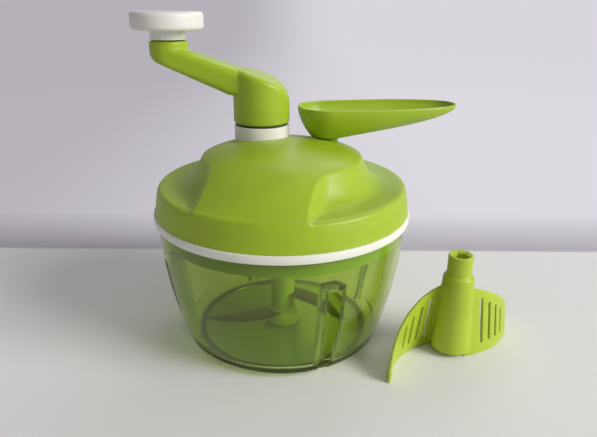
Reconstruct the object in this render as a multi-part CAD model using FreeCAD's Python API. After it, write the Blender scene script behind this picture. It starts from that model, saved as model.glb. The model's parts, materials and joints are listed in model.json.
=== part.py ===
"""A hand cranked food chopper: a clear bowl, a geared lid with a crank, a lift-off funnel, a bladed insert
and a spare paddle insert that stands beside the bowl.

Millimetres, +Z up. The origin is on the table, on the bowl's own axis. The front of the chopper faces -Y.
"""
import FreeCAD
import Part
import math
import os

V = FreeCAD.Vector

# Bowl
BOWL_WALL = 2.6
BOWL_RIM_R = 79.6
BOWL_RIM_Z = 88.0
BOWL_FOOT_R = 60.0
BOWL_FOOT_Z = 1.0
BOWL_FOOT_RELIEF = 0.6
BOWL_FOOT_CURVE_W = 6.3
BOWL_CORNER_R = BOWL_FOOT_R + BOWL_FOOT_CURVE_W
BOWL_CORNER_Z = 8.0
BOWL_CORNER_FULLNESS = (1.1, -1.4)
BOWL_CORNER_INSET_SHARE = 0.6
BOWL_BELLY_Z = 42.0
BOWL_BELLY_BULGE = 3.4475
BOWL_BELLY_SHARE = (BOWL_BELLY_Z - BOWL_CORNER_Z) / (BOWL_RIM_Z - BOWL_CORNER_Z)
BOWL_BELLY_R = BOWL_CORNER_R + (BOWL_RIM_R - BOWL_CORNER_R) * BOWL_BELLY_SHARE + BOWL_BELLY_BULGE
BOWL_FLOOR_Z = 5.0
FLUTE_COUNT = 4
FLUTE_FIRST_DEG = -66.0
FLUTE_TOP_WIDTH = 9.8
FLUTE_FOOT_WIDTH = 7.6
FLUTE_FOOT_STEP = 0.6
FLUTE_FOOT_R = BOWL_FOOT_R + FLUTE_FOOT_STEP
FLUTE_DEPTH = 5.9
FLUTE_TOP_R = BOWL_BELLY_R - FLUTE_DEPTH
FLUTE_TOP_Z = 64.0

# How far a cutting tool runs past what it cuts, and how far a fused boss sinks into what carries it
TOOL_PAST = 1.0
TOOL_FAR = 20.0
SUNK = 0.5

# Clearance of turning parts, and the play of a screw in its hole
RUNNING_GAP = 0.05
SCREW_PLAY = 0.2

# Non-slip ring under the bowl
FOOT_RING_INSET = 1.4
FOOT_RING_W = 3.8
FOOT_RING_OUT_R = BOWL_FOOT_R - FOOT_RING_INSET
FOOT_RING_IN_R = FOOT_RING_OUT_R - FOOT_RING_W
FOOT_GROOVE_DEPTH = 1.4
FOOT_RING_GAP = 0.2

# Pivot pin of the inserts, on a boss in the bowl's floor
PIVOT_R = 2.0
PIVOT_BOSS_R = 5.0
PIVOT_BOSS_H = 3.0
PIVOT_H = 22.0
PIVOT_SEAT_DEPTH = 5.2
PIVOT_POINT = 0.5
PIVOT_END_GAP = 0.5
INSERT_FOOT_Z = BOWL_FLOOR_Z + PIVOT_BOSS_H
PIVOT_TOP_Z = INSERT_FOOT_Z + PIVOT_H

# White rim seal between lid and bowl
SEAL_WEB = 2.0
SEAL_SKIRT_H = 3.5
SEAL_PROUD = 1.2
SEAL_BULGE = 0.9
SEAL_SKIRT_WALL = 2.6
SEAL_BOWL_GAP = 0.3
SEAL_PLATE_GAP = 0.1
SEAL_LIP = 1.3
SEAL_LEG = 0.8
SEAL_BOTTOM_Z = BOWL_RIM_Z - SEAL_SKIRT_H

# Lid cover
COVER_WALL = 2.2
COVER_OVERHANG = 1.7
COVER_TAPER = 2.3
COVER_BAND_H = 16.0
COVER_BOTTOM_Z = BOWL_RIM_Z + SEAL_WEB
COVER_BOTTOM_R = BOWL_RIM_R + COVER_OVERHANG
COVER_EDGE_Z = COVER_BOTTOM_Z + COVER_BAND_H
COVER_EDGE_R = COVER_BOTTOM_R - COVER_TAPER
COVER_EDGE_ROUND = 2.0
COVER_SLOPE_FOOT_H = 1.0
SHOULDER_R = 49.0
SHOULDER_H = 18.8
SHOULDER_Z = COVER_EDGE_Z + SHOULDER_H
CROWN_H = 6.7
CROWN_Z = SHOULDER_Z + CROWN_H
CROWN_MID_SHARE = 0.27
RIDGE_HALF = 29.0
RIDGE_TURN_DEG = -13.0
SHOULDER_ROUND = 60.0
SCOOP_BLEND_R = 22.0
SCOOP_FOOT_SPREAD = 15.0
SCOOP_MID_SPREAD = 5.5
SCOOP_MID_H = 7.0
SCOOP_RIM_STEP = 1.0
RIDGE_WALL_SHARE = 0.2
SCOOP_FLOOR_DROP = 1.2
SCOOP_FLOOR_Z = COVER_EDGE_Z - SCOOP_FLOOR_DROP
SCOOP_TOP_STEP = 6.0
SCOOP_TOP_Z = CROWN_Z + SCOOP_TOP_STEP

# Gear plate that closes the lid from below
PLATE_T = 2.0
PLATE_TOP_Z = COVER_BOTTOM_Z + PLATE_T
PLATE_EDGE_INSET = 2.2
PLATE_R = BOWL_RIM_R - PLATE_EDGE_INSET
SKIRT_WALL = 2.2
SKIRT_H = 15.0
SKIRT_BOWL_GAP = 0.61
PLATE_SCREW_COUNT = 4
PLATE_SCREW_INSET = 8.1
PLATE_SCREW_R = 1.5
PLATE_SCREW_HEAD_R = 3.0
PLATE_SCREW_HEAD_H = 1.8
PLATE_SCREW_LENGTH = 8.5
SCREW_TIP_GAP = 0.5
SCREW_BOSS_WALL = 2.3
SCREW_BOSS_R = PLATE_SCREW_R + SCREW_BOSS_WALL

# Gear train, full-depth involute teeth
GEAR_MODULE = 1.0
DRIVE_TEETH = 39
PINION_TEETH = 13
PRESSURE_DEG = 25.0
TOOTH_BACKLASH = 0.20
ADDENDUM = 0.95
DEDENDUM = 1.25
ROOT_STEP = 0.02
FLANK_POINTS = 4
GEAR_RISE = 15.0
GEAR_Z = PLATE_TOP_Z + GEAR_RISE
GEAR_T = 6.0
GEAR_TOP_Z = GEAR_Z + GEAR_T
PINION_EXTRA = 1.0
PINION_BOTTOM_Z = GEAR_Z - PINION_EXTRA
PINION_TOP_Z = GEAR_TOP_Z + PINION_EXTRA

# Crank axis: its distance from the bowl's axis is the gear centre distance
CRANK_TURN_DEG = 122.5
CENTRE_DISTANCE = GEAR_MODULE * (DRIVE_TEETH + PINION_TEETH) / 2.0

# White crank collar and the crank shaft inside it
HUB_R = 18.3
COLLAR_INSET = 0.3
COLLAR_R = HUB_R - COLLAR_INSET
COLLAR_ROUND = 1.0
COLLAR_RISE = 6.9
COLLAR_TOP_Z = CROWN_Z + COLLAR_RISE
COLLAR_STEM_R = 12.5
COLLAR_GEAR_GAP = 4.0
COLLAR_STEM_BOTTOM_Z = GEAR_TOP_Z + COLLAR_GEAR_GAP
SHAFT_BORE_R = 4.0
SHAFT_JOURNAL_R = 5.0
SHAFT_JOURNAL_H = 8.0
SHAFT_JOURNAL_END_GAP = 0.5
SHAFT_STEP = 1.5
SHAFT_GEAR_R = SHAFT_JOURNAL_R + SHAFT_STEP
SHAFT_R = SHAFT_GEAR_R + SHAFT_STEP
SHAFT_SHOULDER_GAP = 0.3
JOURNAL_BOSS_WALL = 3.0
JOURNAL_GEAR_GAP = 2.0
JOURNAL_TOP_Z = GEAR_Z - JOURNAL_GEAR_GAP
WASHER_T = 1.5
WASHER_INSET = 1.2
WASHER_R = COLLAR_R - WASHER_INSET
HUB_BOTTOM_Z = COLLAR_TOP_Z + WASHER_T
SHAFT_HEX_CUT = 3.0
SHAFT_HEX_AF = 2 * SHAFT_R - SHAFT_HEX_CUT
SHAFT_HEX_H = 15.1
SHAFT_TOP_Z = HUB_BOTTOM_Z + SHAFT_HEX_H
SHAFT_WEB_DROP = 5.9
SHAFT_WEB_Z = HUB_BOTTOM_Z - SHAFT_WEB_DROP
CIRCLIP_T = 0.9
CIRCLIP_W = 2.5
CIRCLIP_GROOVE = 0.8
CIRCLIP_OPENING = 5.0
CIRCLIP_GAP = 0.1
CIRCLIP_OUT_R = SHAFT_R + CIRCLIP_W
CIRCLIP_Z = COLLAR_STEM_BOTTOM_Z - CIRCLIP_T - CIRCLIP_GAP
CRANK_SCREW_R = 2.0
CRANK_SCREW_HEAD_R = 3.6
CRANK_SCREW_HEAD_H = 2.4
CRANK_SCREW_LENGTH = 26.0

# Crank arm. Its side view's corners are offsets from these
ARM_THROW = 58.0
ARM_TURN_DEG = 180.0
ARM_END_R = 12.2
ARM_ROOT_HALF = 13.4
ARM_RISE = 38.1
ARM_END_T = 12.5
ARM_END_BOTTOM_Z = HUB_BOTTOM_Z + ARM_RISE
ARM_END_TOP_Z = ARM_END_BOTTOM_Z + ARM_END_T
HUB_SIDE_H = 16.6
ARM_UNDER_ROOT_Z = HUB_BOTTOM_Z + HUB_SIDE_H
ARM_ROOT_H = 33.6
ARM_TOP_ROOT_Z = HUB_BOTTOM_Z + ARM_ROOT_H
ARM_TOP_ROOT_X = 12.0
HUB_H = 23.6
HUB_TOP_Z = HUB_BOTTOM_Z + HUB_H
UNDER_FILLET = ((0.0, -3.0), (2.0, -0.6), (6.0, 3.2))
NOSE_FILLET = ((-4.5, 0.0), (-1.0, 1.2), (0.0, 4.5))
BOSS_FILLET = ((-0.7, -3.2), (-2.5, -5.2))
CROWN_CURVE = (-2.0, -2.8)
HEEL_CURVE = ((4.0, 0.0), (1.0, -3.4), (0.0, -7.5))

# Knob on the crank
KNOB_R = 22.6
KNOB_T = 11.0
KNOB_ROUND = 2.6
KNOB_NECK_R = 11.2
KNOB_NECK_H = 5.8
KNOB_ARM_GAP = 0.7
KNOB_NECK_BOTTOM_Z = ARM_END_TOP_Z + KNOB_ARM_GAP
KNOB_BOTTOM_Z = KNOB_NECK_BOTTOM_Z + KNOB_NECK_H
KNOB_TOP_Z = KNOB_BOTTOM_Z + KNOB_T
KNOB_PIN_R = 3.0
KNOB_PIN_SEAT = 10.0
KNOB_PIN_BOTTOM_Z = ARM_END_TOP_Z - KNOB_PIN_SEAT
KNOB_POCKET_R = 8.0
KNOB_POCKET_DEPTH = 6.0
KNOB_SEAT_Z = KNOB_TOP_Z - KNOB_POCKET_DEPTH
KNOB_PIN_END = 0.3
KNOB_PIN_TOP_Z = KNOB_SEAT_Z + KNOB_PIN_END
KNOB_CAP_T = 1.4
KNOB_CAP_LEDGE = 1.0
KNOB_CAP_GAP = 0.1
KNOB_WASHER_T = 0.8
KNOB_WASHER_GAP = 1.6
KNOB_WASHER_R = KNOB_POCKET_R - KNOB_WASHER_GAP
KNOB_SCREW_HEAD_R = 4.4
KNOB_SCREW_HEAD_H = 2.2
KNOB_SCREW_R = 1.4
KNOB_SCREW_LENGTH = 8.0

# Output shaft that turns the insert
OUT_TOP_JOURNAL_R = 3.0
OUT_TOP_JOURNAL_H = 8.5
OUT_TOP_Z = PINION_TOP_Z + OUT_TOP_JOURNAL_H
OUT_TOP_END_GAP = 0.5
OUT_PINION_STEP = 0.6
OUT_PINION_SEAT_R = OUT_TOP_JOURNAL_R + OUT_PINION_STEP
OUT_LOWER_R = 5.0
OUT_BUSH_WALL = 2.15
OUT_BUSH_OUT_R = OUT_LOWER_R + RUNNING_GAP + OUT_BUSH_WALL
OUT_BUSH_FLANGE_W = 1.6
OUT_BUSH_FLANGE_T = 1.5
OUT_BUSH_DROP = 6.0
OUT_BUSH_H = 17.0
OUT_BUSH_BOTTOM_Z = COVER_BOTTOM_Z - OUT_BUSH_DROP
OUT_BUSH_TOP_Z = OUT_BUSH_BOTTOM_Z + OUT_BUSH_H
OUT_BUSH_BOSS_WALL = 2.4
OUT_FLANGE_W = 2.0
OUT_FLANGE_T = 3.0
OUT_FLANGE_GAP = 0.3
OUT_FLANGE_TOP_Z = OUT_BUSH_BOTTOM_Z - OUT_FLANGE_GAP
OUT_FLANGE_BOTTOM_Z = OUT_FLANGE_TOP_Z - OUT_FLANGE_T
OUT_HEX_CUT = 1.4
OUT_HEX_AF = 2 * OUT_LOWER_R - OUT_HEX_CUT
OUT_HEX_END_GAP = 1.5
OUT_CLIP_GROOVE = 0.7
OUT_CLIP_OPENING = 4.0
OUT_CLIP_Z = OUT_BUSH_TOP_Z + OUT_FLANGE_GAP
CEILING_BOSS_WALL = 3.4
CEILING_BOSS_R = OUT_TOP_JOURNAL_R + CEILING_BOSS_WALL
CEILING_BOSS_GAP = 3.0
CEILING_BOSS_BOTTOM_Z = PINION_TOP_Z + CEILING_BOSS_GAP

# Inserts: both have the same drive socket and foot
INSERT_TOP_GAP = 5.2
INSERT_HEIGHT = OUT_FLANGE_BOTTOM_Z - INSERT_TOP_GAP - INSERT_FOOT_Z
INSERT_NECK_R = 7.7
INSERT_FLOOR_GAP = 0.6
INSERT_BOSS_GAP = 0.5
SOCKET_GAP = 0.2
SOCKET_DEPTH = 16.0
BLADE_SKIRT_Z = BOWL_FLOOR_Z + INSERT_FLOOR_GAP
BLADE_HUB_FLANGE_R = 13.0
BLADE_HUB_FLANGE_H = 8.6
BLADE_HUB_FLANGE_BEVEL = (2.0, 1.0)
BLADE_HUB_R = 8.0
BLADE_NECK_H = 18.0
BLADE_NECK_BEVEL = 1.0
BLADE_T = 1.0
BLADE_BOWL_GAP = 4.0
BLADE_TIP_R = FLUTE_FOOT_R - BOWL_WALL - BLADE_BOWL_GAP
BLADE_BULGE = 10.8
BLADE_BACK_MID_SHARE = 0.55
BLADE_EDGE_MID_SHARE = 0.52
BLADE_EDGE_SAG = 1.5
BLADE_TIP = ((0.0, -1.2), (-1.5, -3.4))
BLADE_ROOT_HALF = 6.0
BLADE_ROOT_BACK = 4.6
BLADE_EYE_GAP = 1.0
BLADE_EYE_R = PIVOT_R + BLADE_EYE_GAP
BLADE_NAMES = ("blade_lower", "blade_middle", "blade_upper")
BLADE_FIRST_H = 5.0
BLADE_PITCH = 12.0
BLADE_FIRST_DEG = 200.0
BLADE_STEP_DEG = 120.0

# Paddle insert, standing on the table beside the bowl
PADDLE_STAND_OFF = 36.4
PADDLE_X = BOWL_BELLY_R + PADDLE_STAND_OFF
PADDLE_Y = -31.5
PADDLE_FOOT_Z = 3.0
PADDLE_TURN_DEG = 38.5
PADDLE_FOOT_R = 13.0
PADDLE_SHOULDER_R = 9.6
PADDLE_SHOULDER_Z = 54.0
PADDLE_SHOULDER_BEVEL = 1.5
PADDLE_NECK_R = 7.7
PADDLE_HEAD_DROP = 4.3
PADDLE_WING_REACH = 59.5
PADDLE_WING_T = 2.0
PADDLE_WING_ROOT_Z = 48.0
PADDLE_WING_MID_Z = 33.5
PADDLE_WING_MID_Z_SHARE = 0.54
PADDLE_WING_TIP_Z = 7.0
PADDLE_WING_ROOT_SIDE = 10.5
PADDLE_WING_MID_SIDE = 15.5
PADDLE_WING_MID_SIDE_SHARE = 0.45
PADDLE_WING_LEAN = 6.0
PADDLE_SLOT_COUNT = 4
PADDLE_SLOT_W = 1.8
PADDLE_SLOT_FIRST = 11.5
PADDLE_SLOT_PITCH = 7.0
PADDLE_SLOT_LOW_Z = 7.0
PADDLE_SLOT_MARGIN = 10.0
PADDLE_SLOT_STEP = 4.5

# Funnel
FUNNEL_X = 30.0
FUNNEL_Y = 27.5
FUNNEL_TURN_DEG = 9.0
FUNNEL_WALL = 1.8
FUNNEL_SPOUT_R = 7.2
FUNNEL_SPOUT_GAP = 0.35
FUNNEL_SPOUT_BOTTOM_Z = PLATE_TOP_Z
FUNNEL_THROAT_R = 11.5
FUNNEL_SINK = 1.9
FUNNEL_THROAT_Z = CROWN_Z - FUNNEL_SINK
FUNNEL_DEPTH = 19.9
FUNNEL_LIP_H = 4.0
FUNNEL_RIM_Z = FUNNEL_THROAT_Z + FUNNEL_DEPTH
FUNNEL_LIP_Z = FUNNEL_RIM_Z - FUNNEL_LIP_H
FUNNEL_LIP_PULL = 0.03
FUNNEL_MID_PULL = 0.42
FUNNEL_MID_DROP = 0.5
FUNNEL_BACK = 20.0
FUNNEL_REACH = 89.0
FUNNEL_HALF = 25.0
FUNNEL_BACK_SHARE = 0.16
FUNNEL_WIDEN = 1.6
FUNNEL_SQUARENESS = 0.8
FUNNEL_POINTS = 24
CHIMNEY_BORE_R = FUNNEL_SPOUT_R + FUNNEL_SPOUT_GAP
CHIMNEY_WALL = 1.4
CHIMNEY_H = 23.0
CHIMNEY_TOP_Z = PLATE_TOP_Z + CHIMNEY_H


def polar(radius, degrees, z=0.0):
    """The point at a radius and a turn about the bowl's axis."""
    a = math.radians(degrees)
    return V(radius * math.cos(a), radius * math.sin(a), z)


CRANK = polar(CENTRE_DISTANCE, CRANK_TURN_DEG)
KNOB = CRANK + polar(ARM_THROW, ARM_TURN_DEG)
FUNNEL = V(FUNNEL_X, FUNNEL_Y, 0)
AXIS = V(0, 0, 0)


def bowl_wall_r(z):
    """The bowl's outer radius at a height on the wall: an arc through corner, belly and rim."""
    corner = V(BOWL_CORNER_R, BOWL_CORNER_Z, 0)
    belly = V(BOWL_BELLY_R, BOWL_BELLY_Z, 0)
    wall = Part.Circle(corner, belly, V(BOWL_RIM_R, BOWL_RIM_Z, 0))
    return wall.Center.x + math.sqrt(wall.Radius ** 2 - (z - wall.Center.y) ** 2)


# What hangs inside the bowl's rim and what laps outside it both clear the wall over their whole depth
SKIRT_OUT_R = min(bowl_wall_r(COVER_BOTTOM_Z - SKIRT_H), BOWL_RIM_R) - BOWL_WALL - SKIRT_BOWL_GAP
SKIRT_IN_R = SKIRT_OUT_R - SKIRT_WALL
PLATE_SCREW_CIRCLE_R = SKIRT_IN_R - PLATE_SCREW_INSET
SEAL_SKIRT_IN_R = max(bowl_wall_r(SEAL_BOTTOM_Z), BOWL_RIM_R) + SEAL_BOWL_GAP
SEAL_OUT_R = max(SEAL_SKIRT_IN_R + SEAL_SKIRT_WALL, COVER_BOTTOM_R + SEAL_PROUD)


def line(a, b):
    return Part.makeLine(a, b)


def arc(a, b, c):
    return Part.Arc(a, b, c).toShape()


def face_of(edges):
    return Part.Face(Part.Wire(edges))


def polygon(points):
    return Part.Face(Part.makePolygon(list(points) + [points[0]]))


def turned(face, centre=AXIS):
    """A full turn of a face drawn in the XZ plane, moved to stand on a vertical axis at centre."""
    solid = face.revolve(V(0, 0, 0), V(0, 0, 1), 360)
    solid.translate(V(centre.x, centre.y, 0))
    return solid


def turned_points(points, centre=AXIS):
    return turned(polygon([V(r, 0, z) for r, z in points]), centre)


def rod(radius, z0, z1, centre=AXIS):
    return Part.makeCylinder(radius, z1 - z0, V(centre.x, centre.y, z0))


def tube(outer, inner, z0, z1, centre=AXIS):
    return rod(outer, z0, z1, centre).cut(rod(inner, z0 - TOOL_PAST, z1 + TOOL_PAST, centre))


def hexagon(across_flats, z0, z1, centre=AXIS):
    radius = across_flats / 2.0 / math.cos(math.radians(30))
    corners = [centre + polar(radius, 60 * k, z0) for k in range(6)]
    return polygon(corners).extrude(V(0, 0, z1 - z0))


def rotated(shape, degrees, centre=AXIS):
    copy = shape.copy()
    copy.rotate(V(centre.x, centre.y, 0), V(0, 0, 1), degrees)
    return copy


def save(name, shape):
    """Writes one node. A group of identical pieces is a compound of separate solids."""
    shape.exportStep(os.path.join("parts", name + ".step"))


def bowl_profile(inset, floor_z):
    """Half section of the bowl's outside, or of its inside when inset by the wall."""
    foot = V(BOWL_FOOT_R - inset, 0, floor_z)
    corner = V(BOWL_CORNER_R - inset, 0, BOWL_CORNER_Z + inset * BOWL_CORNER_INSET_SHARE)
    fullness = V(BOWL_CORNER_FULLNESS[0], 0, BOWL_CORNER_FULLNESS[1])
    edge_mid = (foot + corner) / 2 + fullness
    belly = V(BOWL_BELLY_R - inset, 0, BOWL_BELLY_Z)
    top_z = BOWL_RIM_Z + (TOOL_PAST if inset else 0.0)
    rim = V(BOWL_RIM_R - inset, 0, top_z)
    return face_of(
        [
            line(V(0, 0, floor_z), foot),
            arc(foot, edge_mid, corner),
            arc(corner, belly, rim),
            line(rim, V(0, 0, top_z)),
            line(V(0, 0, top_z), V(0, 0, floor_z)),
        ]
    )


def flute_block(grow):
    """A channel's negative, open and narrower at its foot. grow is 0 outside and the wall inside."""
    foot_half = FLUTE_FOOT_WIDTH / 2 + grow
    top_half = FLUTE_TOP_WIDTH / 2 + grow
    beyond = max(BOWL_RIM_R, BOWL_BELLY_R) + TOOL_FAR
    top = FLUTE_TOP_Z + grow
    wide = max(foot_half, top_half) + TOOL_PAST
    side = polygon(
        [
            V(FLUTE_FOOT_R - grow, -wide, -TOOL_PAST),
            V(FLUTE_TOP_R - grow, -wide, top),
            V(beyond, -wide, top),
            V(beyond, -wide, -TOOL_PAST),
        ]
    )
    front = polygon(
        [
            V(0, -foot_half, -TOOL_PAST),
            V(0, foot_half, -TOOL_PAST),
            V(0, top_half, top),
            V(0, -top_half, top),
        ]
    )
    return side.extrude(V(0, 2 * wide, 0)).common(front.extrude(V(beyond, 0, 0)))


def make_bowl():
    outside = turned(bowl_profile(0.0, BOWL_FOOT_Z))
    inside = turned(bowl_profile(BOWL_WALL, BOWL_FLOOR_Z))
    for k in range(FLUTE_COUNT):
        turn = FLUTE_FIRST_DEG + 360.0 * k / FLUTE_COUNT
        outside = outside.cut(rotated(flute_block(0.0), turn))
        inside = inside.cut(rotated(flute_block(BOWL_WALL), turn))
    body = outside.cut(inside)
    body = body.fuse(rod(PIVOT_BOSS_R, BOWL_FLOOR_Z - SUNK, INSERT_FOOT_Z))
    groove_top = BOWL_FOOT_Z + FOOT_GROOVE_DEPTH
    groove = tube(
        FOOT_RING_OUT_R + FOOT_RING_GAP, FOOT_RING_IN_R - FOOT_RING_GAP, BOWL_FOOT_Z - TOOL_PAST, groove_top
    )
    relief_r = FOOT_RING_IN_R - FOOT_RING_GAP
    relief = rod(relief_r, BOWL_FOOT_Z - TOOL_PAST, BOWL_FOOT_Z + BOWL_FOOT_RELIEF)
    pin_hole = rod(PIVOT_R, INSERT_FOOT_Z - PIVOT_SEAT_DEPTH, INSERT_FOOT_Z + TOOL_PAST)
    return body.cut(groove).cut(relief).cut(pin_hole)


def make_foot_ring():
    return tube(FOOT_RING_OUT_R, FOOT_RING_IN_R, 0, BOWL_FOOT_Z + FOOT_GROOVE_DEPTH)


def make_pivot_pin():
    pin = rod(PIVOT_R, INSERT_FOOT_Z - PIVOT_SEAT_DEPTH, PIVOT_TOP_Z)
    return pin.makeChamfer(PIVOT_POINT, [pin.Edges[0]])


def dome_profile(inset):
    """Half section of the lid without its two scoops: a crowned top, a slope and an upright band."""
    top = V(0, 0, CROWN_Z - inset)
    shoulder = V(SHOULDER_R, 0, SHOULDER_Z - inset)
    crown_mid = V(SHOULDER_R / 2, 0, CROWN_Z - inset - CROWN_H * CROWN_MID_SHARE)
    slope_foot = V(
        COVER_EDGE_R - COVER_EDGE_ROUND - inset, 0, COVER_EDGE_Z + COVER_SLOPE_FOOT_H - inset
    )
    edge = V(COVER_EDGE_R - inset, 0, COVER_EDGE_Z - COVER_EDGE_ROUND - inset * 0.3)
    edge_mid = V(
        COVER_EDGE_R - inset - COVER_EDGE_ROUND * 0.3, 0, COVER_EDGE_Z - inset - COVER_EDGE_ROUND * 0.1
    )
    bottom_z = COVER_BOTTOM_Z - (TOOL_PAST if inset else 0.0)
    bottom = V(COVER_BOTTOM_R - inset, 0, bottom_z)
    return face_of(
        [
            arc(top, crown_mid, shoulder),
            line(shoulder, slope_foot),
            arc(slope_foot, edge_mid, edge),
            line(edge, bottom),
            line(bottom, V(0, 0, bottom_z)),
            line(V(0, 0, bottom_z), top),
        ]
    )


def plateau_outline(spread, inset, z):
    """The raised part of the lid from above: a disc with a ridge running out front and back.

    The corner between disc and ridge is a concave arc tangent to both. The ridge's sides are steeper
    than the disc's, so they take only a share of the spread.
    """
    half = RIDGE_HALF + spread * RIDGE_WALL_SHARE - inset
    disc = SHOULDER_R + SCOOP_RIM_STEP + spread - inset
    blend = SCOOP_BLEND_R - spread + inset
    reach = COVER_BOTTOM_R + TOOL_FAR
    centre = V(half + blend, math.sqrt((disc + blend) ** 2 - (half + blend) ** 2), 0)
    on_disc = centre * (disc / (disc + blend))
    towards = (on_disc - centre).normalize() + V(-1, 0, 0)
    middle = centre + towards.normalize() * blend
    side = [
        (V(half, -reach, z), None, V(half, -centre.y, z)),
        (V(half, -centre.y, z), V(middle.x, -middle.y, z), V(on_disc.x, -on_disc.y, z)),
        (V(on_disc.x, -on_disc.y, z), V(disc, 0, z), V(on_disc.x, on_disc.y, z)),
        (V(on_disc.x, on_disc.y, z), V(middle.x, middle.y, z), V(half, centre.y, z)),
        (V(half, centre.y, z), None, V(half, reach, z)),
    ]
    other = [
        (V(-c.x, c.y, z), b and V(-b.x, b.y, z), V(-a.x, a.y, z)) for a, b, c in reversed(side)
    ]
    edges = [arc(a, b, c) if b else line(a, c) for a, b, c in side]
    edges.append(line(V(half, reach, z), V(-half, reach, z)))
    edges += [arc(a, b, c) if b else line(a, c) for a, b, c in other]
    edges.append(line(V(-half, -reach, z), V(half, -reach, z)))
    return Part.Wire(edges)


def lid_form(inset):
    """The lid as a solid block with its scoops: the outside for inset 0, the hollow for the wall."""
    full = turned(dome_profile(inset))
    shoulder = [
        edge
        for edge in full.Edges
        if abs(edge.BoundBox.ZMax - (SHOULDER_Z - inset)) < 0.01 and edge.BoundBox.ZLength < 0.01
    ]
    full = full.makeFillet(SHOULDER_ROUND - inset, shoulder)
    floor_z = SCOOP_FLOOR_Z - inset
    levels = (
        (SCOOP_TOP_Z, 0.0), (floor_z + SCOOP_MID_H, SCOOP_MID_SPREAD), (floor_z - SUNK, SCOOP_FOOT_SPREAD)
    )
    plateau = Part.makeLoft([plateau_outline(spread, inset, z) for z, spread in levels], True, False)
    raised = full.common(rotated(plateau, RIDGE_TURN_DEG))
    base = full.common(rod(COVER_BOTTOM_R + TOOL_FAR, COVER_BOTTOM_Z - TOOL_FAR, floor_z))
    return base.fuse(raised).removeSplitter()


def screw_places():
    return [
        polar(PLATE_SCREW_CIRCLE_R, RIDGE_TURN_DEG + (k + 0.5) * 360.0 / PLATE_SCREW_COUNT)
        for k in range(PLATE_SCREW_COUNT)
    ]


def make_lid_cover(outer):
    shell = outer.cut(lid_form(COVER_WALL))
    hole_top = COVER_BOTTOM_Z + PLATE_SCREW_LENGTH + SCREW_TIP_GAP
    for place in screw_places():
        shell = shell.fuse(rod(SCREW_BOSS_R, PLATE_TOP_Z, SCOOP_FLOOR_Z - SUNK, place))
        shell = shell.cut(rod(PLATE_SCREW_R, PLATE_TOP_Z - TOOL_PAST, hole_top, place))
    shell = shell.fuse(rod(CEILING_BOSS_R, CEILING_BOSS_BOTTOM_Z, CROWN_Z - COVER_WALL + SUNK))
    journal_bore_r = OUT_TOP_JOURNAL_R + RUNNING_GAP
    shell = shell.cut(rod(journal_bore_r, CEILING_BOSS_BOTTOM_Z - TOOL_PAST, OUT_TOP_Z + OUT_TOP_END_GAP))
    shell = shell.cut(rod(COLLAR_STEM_R, COLLAR_STEM_BOTTOM_Z - TOOL_PAST, CROWN_Z + TOOL_PAST, CRANK))
    return shell.cut(rod(CHIMNEY_BORE_R, PLATE_TOP_Z, CROWN_Z + TOOL_PAST, FUNNEL))


def make_rim_seal():
    """A channel section that clips over the gear plate's edge and overhangs the bowl's rim."""
    leg_in = PLATE_R + SEAL_PLATE_GAP
    leg_out = leg_in + SEAL_LEG
    inner = BOWL_RIM_R - BOWL_WALL - SEAL_BOWL_GAP
    lip_top = PLATE_TOP_Z + SEAL_LIP
    round_mid = (SEAL_BOTTOM_Z + COVER_BOTTOM_Z) / 2
    points = [
        (inner, BOWL_RIM_Z),
        (SEAL_SKIRT_IN_R, BOWL_RIM_Z),
        (SEAL_SKIRT_IN_R, SEAL_BOTTOM_Z),
        (SEAL_OUT_R - SEAL_BULGE, SEAL_BOTTOM_Z),
    ]
    after = [
        (SEAL_OUT_R - SEAL_BULGE, COVER_BOTTOM_Z),
        (leg_out, COVER_BOTTOM_Z),
        (leg_out, lip_top),
        (leg_in - SEAL_LIP, lip_top),
        (leg_in - SEAL_LIP, PLATE_TOP_Z),
        (leg_in, PLATE_TOP_Z),
        (leg_in, COVER_BOTTOM_Z),
        (inner, COVER_BOTTOM_Z),
        (inner, BOWL_RIM_Z),
    ]
    first = [V(r, 0, z) for r, z in points]
    last = [V(r, 0, z) for r, z in after]
    edges = [line(a, b) for a, b in zip(first, first[1:])]
    edges.append(arc(first[-1], V(SEAL_OUT_R, 0, round_mid), last[0]))
    edges += [line(a, b) for a, b in zip(last, last[1:])]
    return turned(face_of(edges))


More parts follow.
